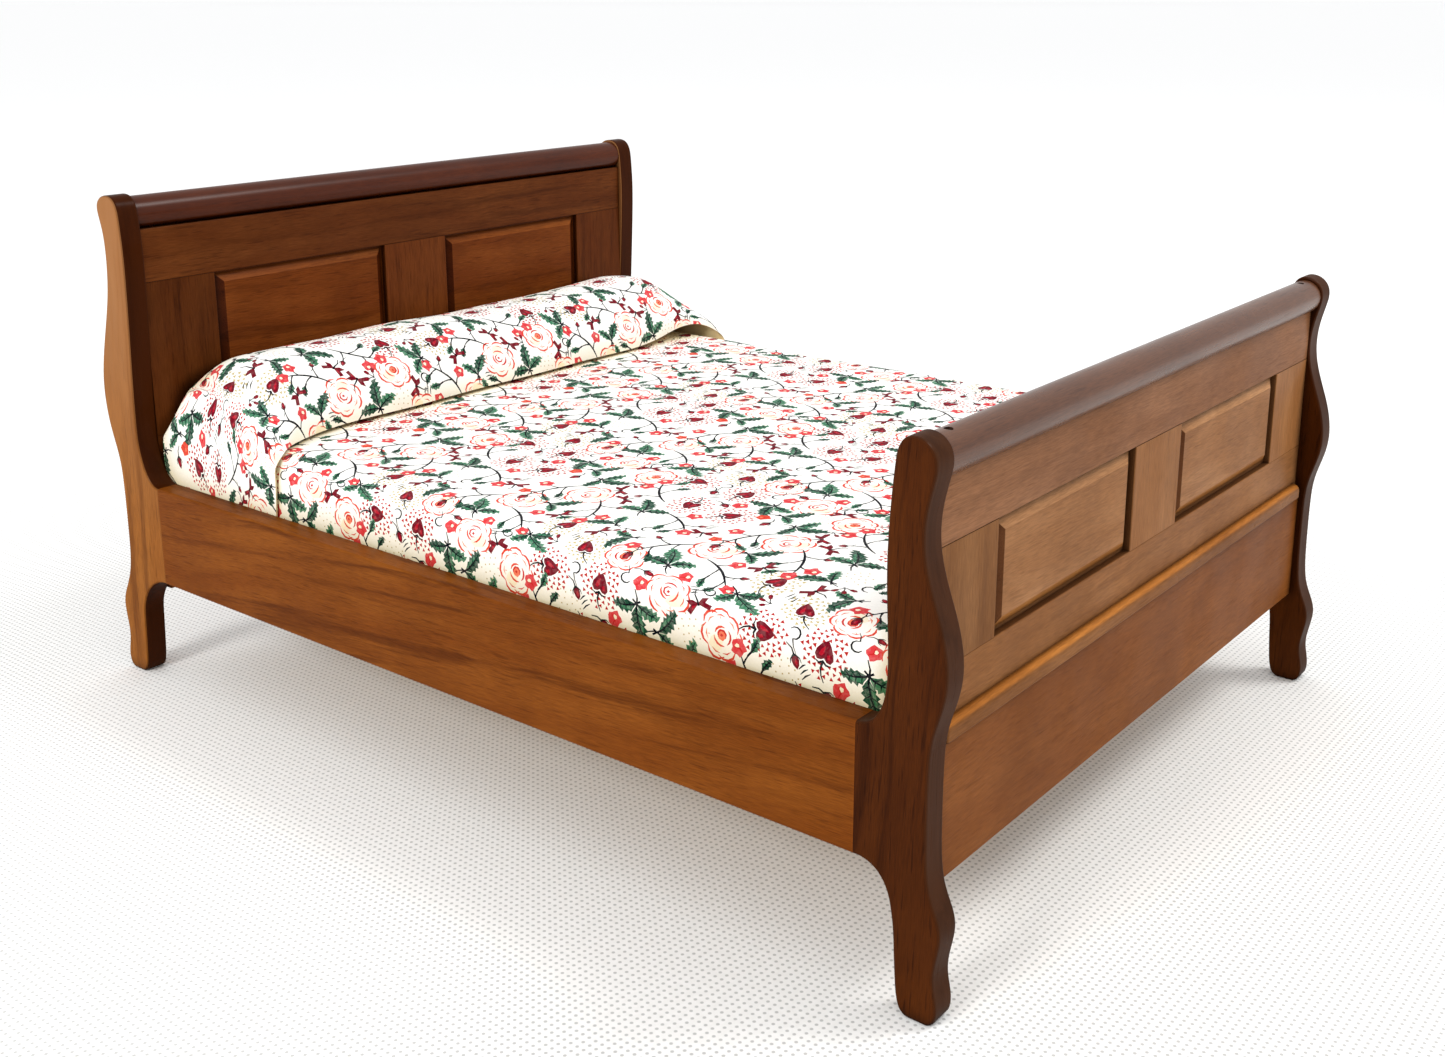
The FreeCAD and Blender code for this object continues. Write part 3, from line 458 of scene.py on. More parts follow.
def specks(rnd, r=2.6, n=16):
    out = []
    for i in range(n):
        q, t = r * math.sqrt((i + 0.5) / n), i * 2.39996
        x, y, s = q * math.cos(t), q * math.sin(t), 0.17
        out.append(([(x + s, y), (x, y + s), (x - s, y), (x, y - s)], "straw"))
    return out


def drops(rnd):
    out = []
    for k, a in enumerate((20, 75, -35)):
        out += place([([(0.9, 0.0), (1.3, 0.38), (2.0, 0.42), (2.35, 0.0), (2.0, -0.38), (1.3, -0.34)], "wine"), ([(1.4, 0.05), (1.8, 0.2), (2.0, -0.05)], "scarlet"), (stroke([(-0.2, 0.0), (0.45, 0.1), (0.95, 0.0)], 0.18, 0.2), "navy")], 0, 0, a)
    return out


# how many of each motif a repeat holds, and the clear radius round each
COUNTS = [("rose", 3, 4.3, 0), ("rosed", 2, 4.0, 0), ("berry", 4, 4.2, 0), ("berryk", 2, 4.2, 0), ("twig0", 2, 4.8, 5.2), ("twig1", 1, 5.0, 5.2), ("twig2", 2, 4.8, 5.2), ("twig3", 1, 5.0, 5.2),
          ("trio", 3, 3.9, 1.0), ("triop", 2, 3.9, 1.0), ("pair", 4, 3.1, 1.4), ("butterfly", 6, 2.3, 0), ("drops", 3, 2.0, 0), ("curl", 4, 1.9, 0), ("ticks", 5, 1.5, 0.9),
          ("specks", 3, 2.3, 0), ("blossom", 3, 1.6, 0), ("blossomc", 1, 1.5, 0), ("bud", 4, 1.9, 0)]


def spread(seed=5, rounds=260):
    """Even, unordered places for the motifs on the repeat: circles that push
    each other apart, across the repeat's edges too."""
    rnd = random.Random(seed)
    items = []
    for name, n, r, off in COUNTS:
        for _ in range(n):
            items.append([name, rnd.random() * TILE, rnd.random() * TILE, r, off, rnd.random() * 360])
    for k in range(rounds):
        gain = 0.55 * (1 - k / rounds) + 0.12
        for i, a in enumerate(items):
            for b in items[i + 1:]:
                dx = (a[1] - b[1] + TILE / 2) % TILE - TILE / 2
                dy = (a[2] - b[2] + TILE / 2) % TILE - TILE / 2
                d = math.hypot(dx, dy) + 1e-6
                need = a[3] + b[3] + 0.25
                if a[0][:4] == b[0][:4]:
                    need += 3.0 * (1 - k / rounds) + 0.4
                if d < need:
                    wa, wb = b[3] / (a[3] + b[3]), a[3] / (a[3] + b[3])
                    p = gain * (need - d) / d
                    a[1] += dx * p * wa
                    a[2] += dy * p * wa
                    b[1] -= dx * p * wb
                    b[2] -= dy * p * wb
    out = []
    for name, x, y, r, off, ang in items:
        c, s = math.cos(math.radians(ang)), math.sin(math.radians(ang))
        out.append((name, (x - off * c) % TILE, (y - off * s) % TILE, ang))
    return out


def one_repeat():
    rnd = random.Random(12)
    made = {
        "twig0": lambda: twig(rnd, 0), "twig1": lambda: twig(rnd, 1), "twig2": lambda: twig(rnd, 2), "twig3": lambda: twig(rnd, 3),
        "trio": lambda: trio(rnd, 1.0), "triop": lambda: trio(rnd, 0.98, True), "pair": lambda: pair(rnd, 1.0), "rose": lambda: rose(rnd), "rosed": lambda: rose(rnd, 3.8, "coral", True),
        "berry": lambda: berry(rnd), "berryk": lambda: berry(rnd, "straw"), "butterfly": lambda: place(butterfly(rnd), 0, 0, 0, 1.35), "drops": lambda: drops(rnd), "bud": lambda: bud(rnd),
        "curl": lambda: curl(rnd), "ticks": lambda: ticks(rnd), "specks": lambda: specks(rnd), "blossom": lambda: blossom(rnd, 1.5), "blossomc": lambda: blossom(rnd, 1.35, "coral"),
    }
    shapes = []
    for name, x, y, a in spread():
        shapes += place(made[name](), x, y, a)
    return shapes


# linear RGB and how much the shader washes each ink
INKS = {
    "blush": ((0.90, 0.872, 0.825), 0.4), "butter": ((0.89, 0.80, 0.62), 0.8), "coral": ((0.66, 0.050, 0.022), 0.5), "peach": ((0.78, 0.17, 0.085), 0.5),
    "rose": ((0.52, 0.016, 0.014), 0.4), "pink": ((0.64, 0.040, 0.050), 0.6), "wine": ((0.150, 0.001, 0.010), 0.3), "scarlet": ((0.40, 0.004, 0.018), 0.4),
    "red": ((0.42, 0.008, 0.008), 0.1), "straw": ((0.50, 0.40, 0.19), 0.2), "leaf": ((0.012, 0.068, 0.038), 0.9), "leaf_light": ((0.045, 0.190, 0.100), 1.0),
    "leaf_dark": ((0.003, 0.015, 0.014), 0.4), "navy": ((0.0012, 0.002, 0.006), 0.2),
}


# ------------------------------------------------------------- wood finishes
WALNUT = ((0.205, 0.066, 0.016), (0.075, 0.020, 0.005), (0.305, 0.112, 0.032))
RAIL = ((0.235, 0.074, 0.016), (0.100, 0.026, 0.005), (0.315, 0.112, 0.028))
# the headboard's tones: darker than the footboard's, partly its stain and partly painted shade
HEAD_TONE_AND_SHADE = ((0.150, 0.042, 0.010), (0.052, 0.013, 0.003), (0.215, 0.070, 0.018))
DEEP = ((0.088, 0.026, 0.008), (0.034, 0.009, 0.003), (0.125, 0.040, 0.012))
ROLL = ((0.120, 0.038, 0.012), (0.048, 0.013, 0.004), (0.170, 0.060, 0.020))


# how each group's tone differs from those tones, per channel: partly the stain, and partly painted light and shade, the
# headboard's rails, stiles, panels and roll painted darker (painted shade) and the footboard's rails, stiles and panels
# paler and greyer (a painted sheen)
STAIN_AND_LIGHT = {
    "rail": (0.659, 0.525, 0.238),
    "head_post": (1.047, 1.082, 0.786),
    "foot_post": (0.551, 0.41, 0.161),
    "pale": (0.667, 0.676, 0.564),
    "head_top_rail": (0.614, 0.554, 0.493),
    "head_bottom_rail": (0.614, 0.554, 0.493),
    "head_lower_board": (0.866, 0.706, 0.46),
    "head_moulding": (0.614, 0.554, 0.493),
    "head_stile": (0.583, 0.499, 0.394),
    "head_panel": (0.866, 0.706, 0.46),
    "head_roll": (0.5, 0.27, 0.11),
    "foot_top_rail": (1.055, 1.383, 2.431),
    "foot_bottom_rail": (1.143, 1.43, 1.902),
    "foot_lower_board": (0.862, 0.822, 0.688),
    "foot_moulding": (0.95, 1.12, 1.3),
    "foot_stile": (1.24, 1.572, 2.131),
    "foot_panel": (1.304, 1.757, 2.708),
    "foot_roll": (0.8, 0.85, 0.98),
}


def tinted(tone, group):
    return tuple(tuple(min(0.95, c * g) for c, g in zip(rgb, STAIN_AND_LIGHT[group])) for rgb in tone)


def finish(node, mat):
    ob = NODES[node]
    for s in ob.material_slots:
        s.material = mat
    if not ob.material_slots:
        ob.data.materials.append(mat)


def woods():
    for side, seed in (("left", 1.0), ("right", 2.3)):
        finish("side_rail_" + side, wood("rail_wood_" + side, "y", *tinted(RAIL, "rail"), seed=seed, skew=0.10, streak=0.62, rough=0.36, pore=0.40, arris=(1.55, 0.55)))
        finish("head_post_" + side, wood("head_post_wood_" + side, "z", *tinted(RAIL, "head_post"), seed=seed + 4, skew=0.05, streak=0.5, fade=("z", 0.028, 0.080, tinted(((0.43, 0.185, 0.082),), "pale")[0]), arris=(0.10, 0.8), front=((0.042, 0.0090, 0.0012), (0.020, 0.0040, 0.0006))))
        finish("foot_post_" + side, wood("foot_post_wood_" + side, "z", *tinted(DEEP, "foot_post"), seed=seed + 7, skew=0.06, streak=0.5, arris=(0.45, 0.9), rough=0.38, front=((0.058, 0.020, 0.0075), (0.026, 0.0085, 0.003))))
    for end, tone in (("head", HEAD_TONE_AND_SHADE), ("foot", WALNUT)):
        k = 3.0 if end == "head" else 0.0
        calm = {"figure": 0.75, "pore": 0.45} if end == "head" else {"figure": 0.45, "pore": 0.22}
        soft_arris = dict(calm, arris=(0.80, 0.55))
        st = 0.42 if end == "head" else 0.18
        finish(end + "_top_rail", wood(end + "_top_rail_wood", "x", *tinted(tone, end + "_top_rail"), seed=11 + k, streak=st, **soft_arris))
        finish(end + "_bottom_rail", wood(end + "_bottom_rail_wood", "x", *tinted(tone, end + "_bottom_rail"), seed=12 + k, streak=st, **soft_arris))
        finish(end + "_lower_board", wood(end + "_lower_board_wood", "x", *tinted(tone, end + "_lower_board"), seed=13 + k, streak=st, **soft_arris))
        for i, s in enumerate(("left", "centre", "right")):
            # each stile's tone is scaled on its own: the darker left stiles, beside the left posts, are painted shade
            depth = (0.76, 1.36, 1.12) if end == "head" else (0.74, 0.98, 1.0)
            stile_tone_and_shade = tuple(tuple(v * depth[i] for v in rgb) for rgb in tone)
            finish("%s_%s_stile" % (end, s), wood("%s_%s_stile_wood" % (end, s), "z", *tinted(stile_tone_and_shade, end + "_stile"), seed=14 + k + i * 0.7, streak=st, **soft_arris))
        for i, s in enumerate(("left", "right")):
            finish("%s_%s_panel" % (end, s), wood("%s_%s_panel_wood" % (end, s), "x", *tinted(tone, end + "_panel"), seed=17 + k + i * 0.9, streak=st, skew=0.03, slope_light_shade=True, **calm))
        finish(end + "_crest_roll", wood(end + "_crest_roll_wood", "x", *tinted(ROLL, end + "_roll"), seed=19 + k, streak=0.25, rough=0.30, coat=0.60 if end == "foot" else 0.34, coat_rough=0.27, pore=0.3, figure=0.5))
        finish(end + "_moulding", wood(end + "_moulding_wood", "x", *tinted(tone, end + "_moulding"), seed=20 + k, streak=0.2, arris=(1.5, 0.6), rough=0.30, bead_highlight_shade=True, **calm))
    bare = raw_wood("bare_strip_wood", "y", (0.52, 0.34, 0.17), (0.36, 0.20, 0.09), 3.0)
    bare_x = raw_wood("bare_strip_wood_x", "x", (0.52, 0.34, 0.17), (0.36, 0.20, 0.09), 4.0)
    for n in ("side_cleat_left", "side_cleat_right"):
        finish(n, bare)
    for n in ("head_cleat", "foot_cleat"):
        finish(n, bare_x)
    finish("base_board", raw_wood("base_ply_wood", "y", (0.60, 0.42, 0.23), (0.42, 0.26, 0.12), 6.0))
    beech = raw_wood("beech_dowel_wood", "x", (0.62, 0.43, 0.24), (0.45, 0.28, 0.13), 7.0)
    for n in ("headboard_dowels", "footboard_dowels"):
        finish(n, beech)
    finish("side_rail_dowels", raw_wood("beech_dowel_wood_y", "y", (0.62, 0.43, 0.24), (0.45, 0.28, 0.13), 8.0))
    net = Net("brad_metal")
    co = net.add("TexCoord").outputs["Object"]
    n = net.noise(co, 2500.0, 3.0)
    net.principled(**{"Base Color": net.mix(net.ramp(n, 0.4, 0.7), (0.26, 0.24, 0.22), (0.14, 0.10, 0.07)), "Metallic": 0.9, "Roughness": net.ramp(n, 0.3, 0.7, 0.35, 0.6)})
    for n in ("head_roll_brads", "foot_roll_brads"):
        finish(n, net.mat)


woods()


# ------------------------------------------------------ the print as a mesh
def repeat_mesh():
    """One repeat as flat triangles: points (mm), triangles, an ink per triangle.
    Inks are numbered in the order of INKS, and 0 is bare cloth."""
    names = list(INKS)
    polys = []
    for pts, ink in one_repeat():
        p = np.array(pts)
        for ox in (-TILE, 0, TILE):
            for oy in (-TILE, 0, TILE):
                q = p + (ox, oy)
                if q[:, 0].max() > 0 and q[:, 0].min() < TILE and q[:, 1].max() > 0 and q[:, 1].min() < TILE:
                    polys.append((q, names.index(ink) + 1))
    verts, edges = [], []
    for q, _ in polys:
        k = len(verts)
        verts += [Vector(v) for v in q]
        edges += [(k + i, k + (i + 1) % len(q)) for i in range(len(q))]
    k = len(verts)
    verts += [Vector(v) for v in ((0, 0), (TILE, 0), (TILE, TILE), (0, TILE))]
    edges += [(k, k + 1), (k + 1, k + 2), (k + 2, k + 3), (k + 3, k)]
    n = 13
    for i in range(n):
        for j in range(n):
            verts.append(Vector(((i + 0.5 + 0.2 * math.sin(7.0 * j)) * TILE / n, (j + 0.5 + 0.2 * math.sin(5.0 * i)) * TILE / n)))
    out = delaunay_2d_cdt(verts, edges, [], 0, 1e-4)
    pts = np.array([tuple(v) for v in out[0]])
    tris = np.array([f for f in out[2] if len(f) == 3])
    cen = pts[tris].mean(axis=1)
    keep = (cen[:, 0] > 0) & (cen[:, 0] < TILE) & (cen[:, 1] > 0) & (cen[:, 1] < TILE)
    tris, cen = tris[keep], cen[keep]
    ink = np.zeros(len(tris), int)
    for q, number in polys:
        lo, hi = q.min(axis=0), q.max(axis=0)
        near = np.nonzero((cen[:, 0] > lo[0]) & (cen[:, 0] < hi[0]) & (cen[:, 1] > lo[1]) & (cen[:, 1] < hi[1]))[0]
        if not len(near):
            continue
        x, y = cen[near, 0][:, None], cen[near, 1][:, None]
        a, b = q, np.roll(q, -1, axis=0)
        cross = ((a[:, 1] > y) != (b[:, 1] > y)) & (x < (b[:, 0] - a[:, 0]) * (y - a[:, 1]) / np.where(b[:, 1] == a[:, 1], 1e-9, b[:, 1] - a[:, 1]) + a[:, 0])
        ink[near[cross.sum(axis=1) % 2 == 1]] = number
    used = np.unique(tris)
    back = np.full(len(pts), -1)
    back[used] = np.arange(len(used))
    return pts[used], back[tris], ink


REPEAT = repeat_mesh()


def split(pts, tris, ink, axis, at):
    """Triangles split along the line axis = at."""
    s = pts[:, axis] - at
    s[np.abs(s) < 1e-5] = 0.0
    g = np.sign(s).astype(int)[tris]
    lo, hi = g.min(axis=1), g.max(axis=1)
    hit = np.nonzero((lo < 0) & (hi > 0))[0]
    if not len(hit):
        return pts, tris, ink
    t, g = tris[hit], g[hit]
    # turn each so that its odd corner comes first: the one alone on its side, or the one on the line
    on = (g == 0).any(axis=1)
    first = np.where(on, np.argmax(g == 0, axis=1), 0)
    total = g.sum(axis=1)
    alone = np.argmax(g == -np.sign(total)[:, None], axis=1)
    first = np.where(on, first, alone)
    r = np.arange(len(t))
    a, b, c = t[r, first], t[r, (first + 1) % 3], t[r, (first + 2) % 3]

    def cross(p, q):
        key = np.stack([np.minimum(p, q), np.maximum(p, q)], axis=1)
        f = (-s[key[:, 0]] / (s[key[:, 1]] - s[key[:, 0]]))[:, None]
        return key, pts[key[:, 0]] * (1 - f) + pts[key[:, 1]] * f

    two = ~on
    k1, p1 = cross(a[two], b[two])
    k2, p2 = cross(a[two], c[two])
    k3, p3 = cross(b[on], c[on])
    keys, new = np.vstack([k1, k2, k3]), np.vstack([p1, p2, p3])
    _, pick, where = np.unique(keys, axis=0, return_index=True, return_inverse=True)
    where = where.ravel() + len(pts)
    n1, n2 = two.sum(), on.sum()
    ab, ac, bc = where[:n1], where[n1:2 * n1], where[2 * n1:]
    A, B, C = a[two], b[two], c[two]
    made = [np.stack(q, axis=1) for q in ((A, ab, ac), (ab, B, C), (ab, C, ac), (a[on], b[on], bc), (a[on], bc, c[on]))]
    k = ink[hit]
    inks = [k[two], k[two], k[two], k[on], k[on]]
    keep = np.ones(len(tris), bool)
    keep[hit] = False
    pts = np.vstack([pts, new[pick]])
    pts[len(s):, axis] = at
    return pts, np.vstack([tris[keep]] + made), np.concatenate([ink[keep]] + inks)


def cloth_cut(lo, hi, cuts_u=(), cuts_v=(), shift=(0.0, 0.0), drop=None):
    """The printed cloth cut to the rectangle lo..hi (mm), with extra lines where
    it bends. Returns flat points, triangles and inks."""
    pts0, tris0, ink0 = REPEAT
    ps, ts, ks, n = [], [], [], 0
    for i in range(math.floor((lo[0] + shift[0]) / TILE), math.floor((hi[0] + shift[0]) / TILE) + 1):
        for j in range(math.floor((lo[1] + shift[1]) / TILE), math.floor((hi[1] + shift[1]) / TILE) + 1):
            p = pts0 + (i * TILE - shift[0], j * TILE - shift[1])
            ps.append(p)
            ts.append(tris0 + n)
            ks.append(ink0)
            n += len(p)
    pts, tris, ink = np.vstack(ps), np.vstack(ts), np.concatenate(ks)
    _, pick, where = np.unique(np.round(pts * 1000 + 0.137).astype(np.int64), axis=0, return_index=True, return_inverse=True)
    pts, tris = pts[pick], where.ravel()[tris]
    for axis in (0, 1):
        for at, side in ((lo[axis], -1), (hi[axis], 1)):
            pts, tris, ink = split(pts, tris, ink, axis, at)
            keep = (pts[tris].mean(axis=1)[:, axis] - at) * side < 0
            tris, ink = tris[keep], ink[keep]
    for axis, cuts in ((0, cuts_u), (1, cuts_v)):
        for at in cuts:
            pts, tris, ink = split(pts, tris, ink, axis, at)
    cen = pts[tris].mean(axis=1)
    if drop is not None:
        keep = ~drop(cen[:, 0], cen[:, 1])
        tris, ink = tris[keep], ink[keep]
    e1, e2 = pts[tris[:, 1]] - pts[tris[:, 0]], pts[tris[:, 2]] - pts[tris[:, 0]]
    turn = e1[:, 0] * e2[:, 1] - e1[:, 1] * e2[:, 0]
    tris[turn < 0] = tris[turn < 0][:, ::-1]
    ok = np.abs(turn) > 1e-7
    tris, ink = tris[ok], ink[ok]
    used, tri = np.unique(tris, return_inverse=True)
    return pts[used], tri.reshape(-1, 3), ink


def cloth_object(name, parts, mat):
    """One mesh of printed and plain parts. Each part is (flat mm, 3-D mm, normals, faces, inks)."""
    me = bpy.data.meshes.new(name)
    n0, co, nor, faces, inks, flat = 0, [], [], [], [], []
    for f, p, n, t, k in parts:
        co.append(p)
        nor.append(n)
        flat.append(f)
        faces += [tuple(int(i) + n0 for i in q) for q in t]
        inks += list(k)
        n0 += len(p)
    co, nor, flat = np.vstack(co) * MM, np.vstack(nor), np.vstack(flat)
    me.from_pydata(co.tolist(), [], faces)
    me.update()
    table = np.ones((len(INKS) + 1, 4))
    table[0] = (*BARE, 0.0)
    for i, (rgb, wash) in enumerate(INKS.values()):
        table[i + 1] = (*rgb, wash)
    plain = np.array([(*CALICO, 0.0)])
    table = np.vstack([table, plain])
    sizes = np.array([len(f) for f in faces])
    per = np.repeat(np.array(inks), sizes)
    layer = me.color_attributes.new("print", "FLOAT_COLOR", "CORNER")
    layer.data.foreach_set("color", table[per].astype(np.float32).ravel())
    loops = np.array([i for f in faces for i in f])
    uv = me.uv_layers.new(name="cloth")
    uv.data.foreach_set("uv", flat[loops].astype(np.float32).ravel())
    me.polygons.foreach_set("use_smooth", np.ones(len(faces), bool))
    nor = nor / np.maximum(np.linalg.norm(nor, axis=1, keepdims=True), 1e-9)
    me.normals_split_custom_set_from_vertices(nor.tolist())
    me.materials.append(mat)
    return link(bpy.data.objects.new(name, me))


BARE = (0.90, 0.893, 0.862)
CALICO = (0.74, 0.68, 0.55)
PLAIN = len(INKS) + 1


def cotton():
    net = Net("printed_cotton_cloth")
    att = net.add("Attribute", attribute_name="print")
    uvm = net.add("UVMap", uv_map="cloth").outputs[0]
    s = net.add("SeparateXYZ", {0: uvm})
    k = 2 * math.pi / 0.30
    warp = net.math("SINE", net.math("MULTIPLY", s.outputs[0], k))
    weft = net.math("SINE", net.math("MULTIPLY", s.outputs[1], k))
    weave = net.math("MULTIPLY", warp, weft)
    thread = net.noise(uvm, 2.4, 3.0, 0.6)
    wash = net.noise(uvm, 1.1, 4.0, 0.62, 0.6)
    # the ink sits unevenly: it thins out in places and the cloth shows through
    lift = net.math("MULTIPLY", att.outputs["Alpha"], net.ramp(wash, 0.42, 0.68, 0.0, 0.16))
    c = net.mix(lift, att.outputs["Color"], BARE)
    tone = net.ramp(thread, 0.25, 0.75, 0.965, 1.02)
    c = net.mix(1.0, c, net.add("CombineColor", {0: tone, 1: tone, 2: tone}).outputs[0], "MULTIPLY")
    # painted shade: the cloth is painted darker and creamier in creases, hollows and under the drape, where ambient
    # occlusion finds them
    ao = net.add("AmbientOcclusion", {"Distance": 0.016}, samples=6).outputs["AO"]
    deep = net.ramp(ao, 0.30, 0.96, 1.0, 0.0)
    c = net.mix(deep, c, net.mix(1.0, c, (0.97, 0.84, 0.56), "MULTIPLY"))
    h = net.math("ADD", net.math("MULTIPLY", weave, 0.5), net.math("MULTIPLY", thread, 0.7))
    bump = net.add("Bump", {"Strength": 0.35, "Distance": 0.00003, "Height": h})
    net.principled(**{"Base Color": c, "Roughness": 0.86, "Normal": bump.outputs[0], "Specular IOR Level": 0.04, "Sheen Weight": 0.02, "Sheen Roughness": 0.6})
    return net.mat


COTTON = cotton()


# ------------------------------------------------------------- the mattress
def mattress():
    lo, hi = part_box("mattress_cover")
    a, b = 67.05, (hi[1] - lo[1]) / MM / 2 - 0.15
    yc, top, bottom = (hi[1] + lo[1]) / MM / 2, hi[2] / MM - 0.02, lo[2] / MM + 0.15
    drop, tuck, r = top - bottom, 7.0, 5.2
    inner = np.array((a - r, b - r, (top - bottom) / 2 - r))
    zc = (top + bottom) / 2

    def sharp(f):
        u, v = f[:, 0], f[:, 1]
        s = np.maximum(np.maximum(np.abs(u) - a, np.abs(v) - b), 0)
        under = np.maximum(s - drop, 0)
        x = np.where(np.abs(u) > a, np.sign(u) * (a - under), u)
        y = np.where(np.abs(v) > b, np.sign(v) * (b - under), v)
        z = top - np.minimum(s, drop)
        return np.stack([x, y, z - zc], axis=1), s

    def shape(f):
        q, s = sharp(f)
        core = np.clip(q, -inner, inner)
        d = q - core
        n = d / np.maximum(np.linalg.norm(d, axis=1, keepdims=True), 1e-9)
        p = core + r * n
        # a hand-filled pad: the top is not quite flat, and the sides belly a little
        x, y = p[:, 0], p[:, 1]
        flat_top = np.clip((n[:, 2] - 0.2) / 0.8, 0, 1)
        edge = np.clip((a - np.abs(x)) / 9, 0, 1) * np.clip((b - np.abs(y)) / 9, 0, 1)
        wave = 0.30 * np.sin(x / 17.0 + 0.8) * np.sin(y / 23.0 + 0.4) + 0.16 * np.sin(x / 8.3 + y / 11.0) + 0.10 * np.sin(y / 6.1 - x / 13.0 + 2.0)
        calm = np.clip((44 - y) / 16, 0, 1)
        p[:, 2] += flat_top * (wave * calm * (0.35 + 0.65 * edge) - 0.34 * calm - 0.06)
        side = np.sqrt(np.clip(1 - n[:, 2] ** 2, 0, 1))
        ripple = 0.12 * np.sin(x / 7.0 + y / 9.0 + p[:, 2] / 5.0) - 0.13
        p[:, 0] += n[:, 0] * side * ripple
        p[:, 1] += n[:, 1] * side * ripple
        over = np.clip(s - drop, 0, 4.0) / 4.0
        p[:, 2] += np.where(np.abs(f[:, 1]) > b, 0.10 * over, 0.0)
        return p + (0, yc, zc)

    tan = [r * math.tan(math.radians(t)) for t in (0, 9, 18, 27, 36)]
    cu, cv = [], []
    for m, cuts in ((a, cu), (b, cv)):
        for t in tan:
            cuts += [m - r + t, m + r - t, m + drop - r + t, m + drop + r - t]
        cuts += [m, m + drop]
        for k in (2, 4):
            cuts += [m + r + (drop - 2 * r) * k / 6]
    cu = sorted([-c for c in cu] + cu)
    cv = sorted([-c for c in cv] + cv)
    flat, tri, ink = cloth_cut((-a - drop - tuck, -b - drop - tuck), (a + drop + tuck, b + drop + tuck), cu, cv, (11.0, 27.0), lambda x, y: (np.abs(x) > a) & (np.abs(y) > b))
    p = shape(flat)
    e = 0.02
    du = shape(flat + (e, 0)) - shape(flat - (e, 0))
    dv = shape(flat + (0, e)) - shape(flat - (0, e))
    n = np.cross(du, dv)
    # on the lines where strips meet, take the box's own normal
    q, _ = sharp(flat)
    d = q - np.clip(q, -inner, inner)
    d = d / np.maximum(np.linalg.norm(d, axis=1, keepdims=True), 1e-9)
    n = n / np.maximum(np.linalg.norm(n, axis=1, keepdims=True), 1e-9)
    bad = (n * d).sum(axis=1) < 0.9
    n[bad] = d[bad]
    # plain base, inside the turned-up hem
    gx, gy = np.meshgrid(np.linspace(-a + 1.6, a - 1.6, 12), np.linspace(-b + 1.6, b - 1.6, 14), indexing="ij")
    base = np.stack([gx.ravel(), gy.ravel() + yc, np.full(gx.size, bottom + 0.32)], axis=1)
    quads = [(i * 14 + j, i * 14 + j + 1, (i + 1) * 14 + j + 1, (i + 1) * 14 + j) for i in range(11) for j in range(13)]
    ob = cloth_object("mattress_pad", [(flat, p, n, tri, ink), (base[:, :2], base, np.tile((0.0, 0.0, -1.0), (len(base), 1)), quads, [PLAIN] * len(quads))], COTTON)
    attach(ob, "mattress")
    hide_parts("mattress_cover", "mattress_core")
    return ob


# -------------------------------------------------------------- the bolster
PROFILE = np.array([(84.2, 52.9), (84.45, 56.6), (83.9, 60.3), (81.6, 63.2), (77.6, 65.0), (72.5, 65.55), (67.0, 64.9), (62.0, 62.6), (58.3, 59.1), (56.2, 55.6), (55.6, 52.75)])


def natural(ts, ps, t):
    """Natural cubic spline through ps (n, ...) at ts, sampled at t."""
    ts, t = np.asarray(ts, float), np.asarray(t, float)
    n = len(ts)
    h = np.diff(ts)
    shp = ps.shape[1:]
    y = ps.reshape(n, -1)
    m = np.zeros((n, n))
    rhs = np.zeros_like(y)
    m[0, 0] = m[-1, -1] = 1
    for i in range(1, n - 1):
        m[i, i - 1], m[i, i], m[i, i + 1] = h[i - 1], 2 * (h[i - 1] + h[i]), h[i]
        rhs[i] = 6 * ((y[i + 1] - y[i]) / h[i] - (y[i] - y[i - 1]) / h[i - 1])
    k = np.linalg.solve(m, rhs)
    i = np.clip(np.searchsorted(ts, t) - 1, 0, n - 2)
    hh = h[i][:, None]
    a, b = ((ts[i + 1] - t)[:, None]) / hh, ((t - ts[i])[:, None]) / hh
    out = a * y[i] + b * y[i + 1] + ((a ** 3 - a) * k[i] + (b ** 3 - b) * k[i + 1]) * hh ** 2 / 6
    return out.reshape((len(t),) + shp)


def station(x, f, hem, top=0.0, lean=0.0, back=84.2):
    """The bolster's section at x, its height scaled by f about the hem (y, z)."""
    y = hem[0] + (PROFILE[:, 0] - 55.6) * (back - hem[0]) / (84.2 - 55.6)
    z = hem[1] + (PROFILE[:, 1] - 52.75) * f
    w = np.linspace(0, 1, 11)
    z[0] = min(z[0], 53.2)
    z = z + top * np.sin(np.pi * w) ** 2
    xs = np.full(11, float(x)) + lean * (w - 0.5)
    return np.stack([xs, y, z], axis=1)


def fall(x, zb, zf, yb=84.2, yf=48.6, belly=0.0, hump=0.0):
    """A row of the end flap, from the back (zb) to the front (zf)."""
    w = np.linspace(0, 1, 11)
    y = yb + (yf - yb) * w
    z = zb + (zf - zb) * w ** 1.6 + hump * np.sin(np.pi * w ** 0.8) ** 1.3
    return np.stack([np.full(11, float(x)) + np.sign(x) * belly * np.sin(np.pi * w), y, z], axis=1)


def mound(x, zb, zf, high, yb, yf):
    """A row over the bolster's blunt end: highest towards the back."""
    w = np.linspace(0, 1, 11)
    y = yb + (yf - yb) * w
    z = zb + (zf - zb) * w + high * np.sin(np.pi * w ** 0.72) ** 0.8
    return np.stack([np.full(11, float(x)), y, z], axis=1)


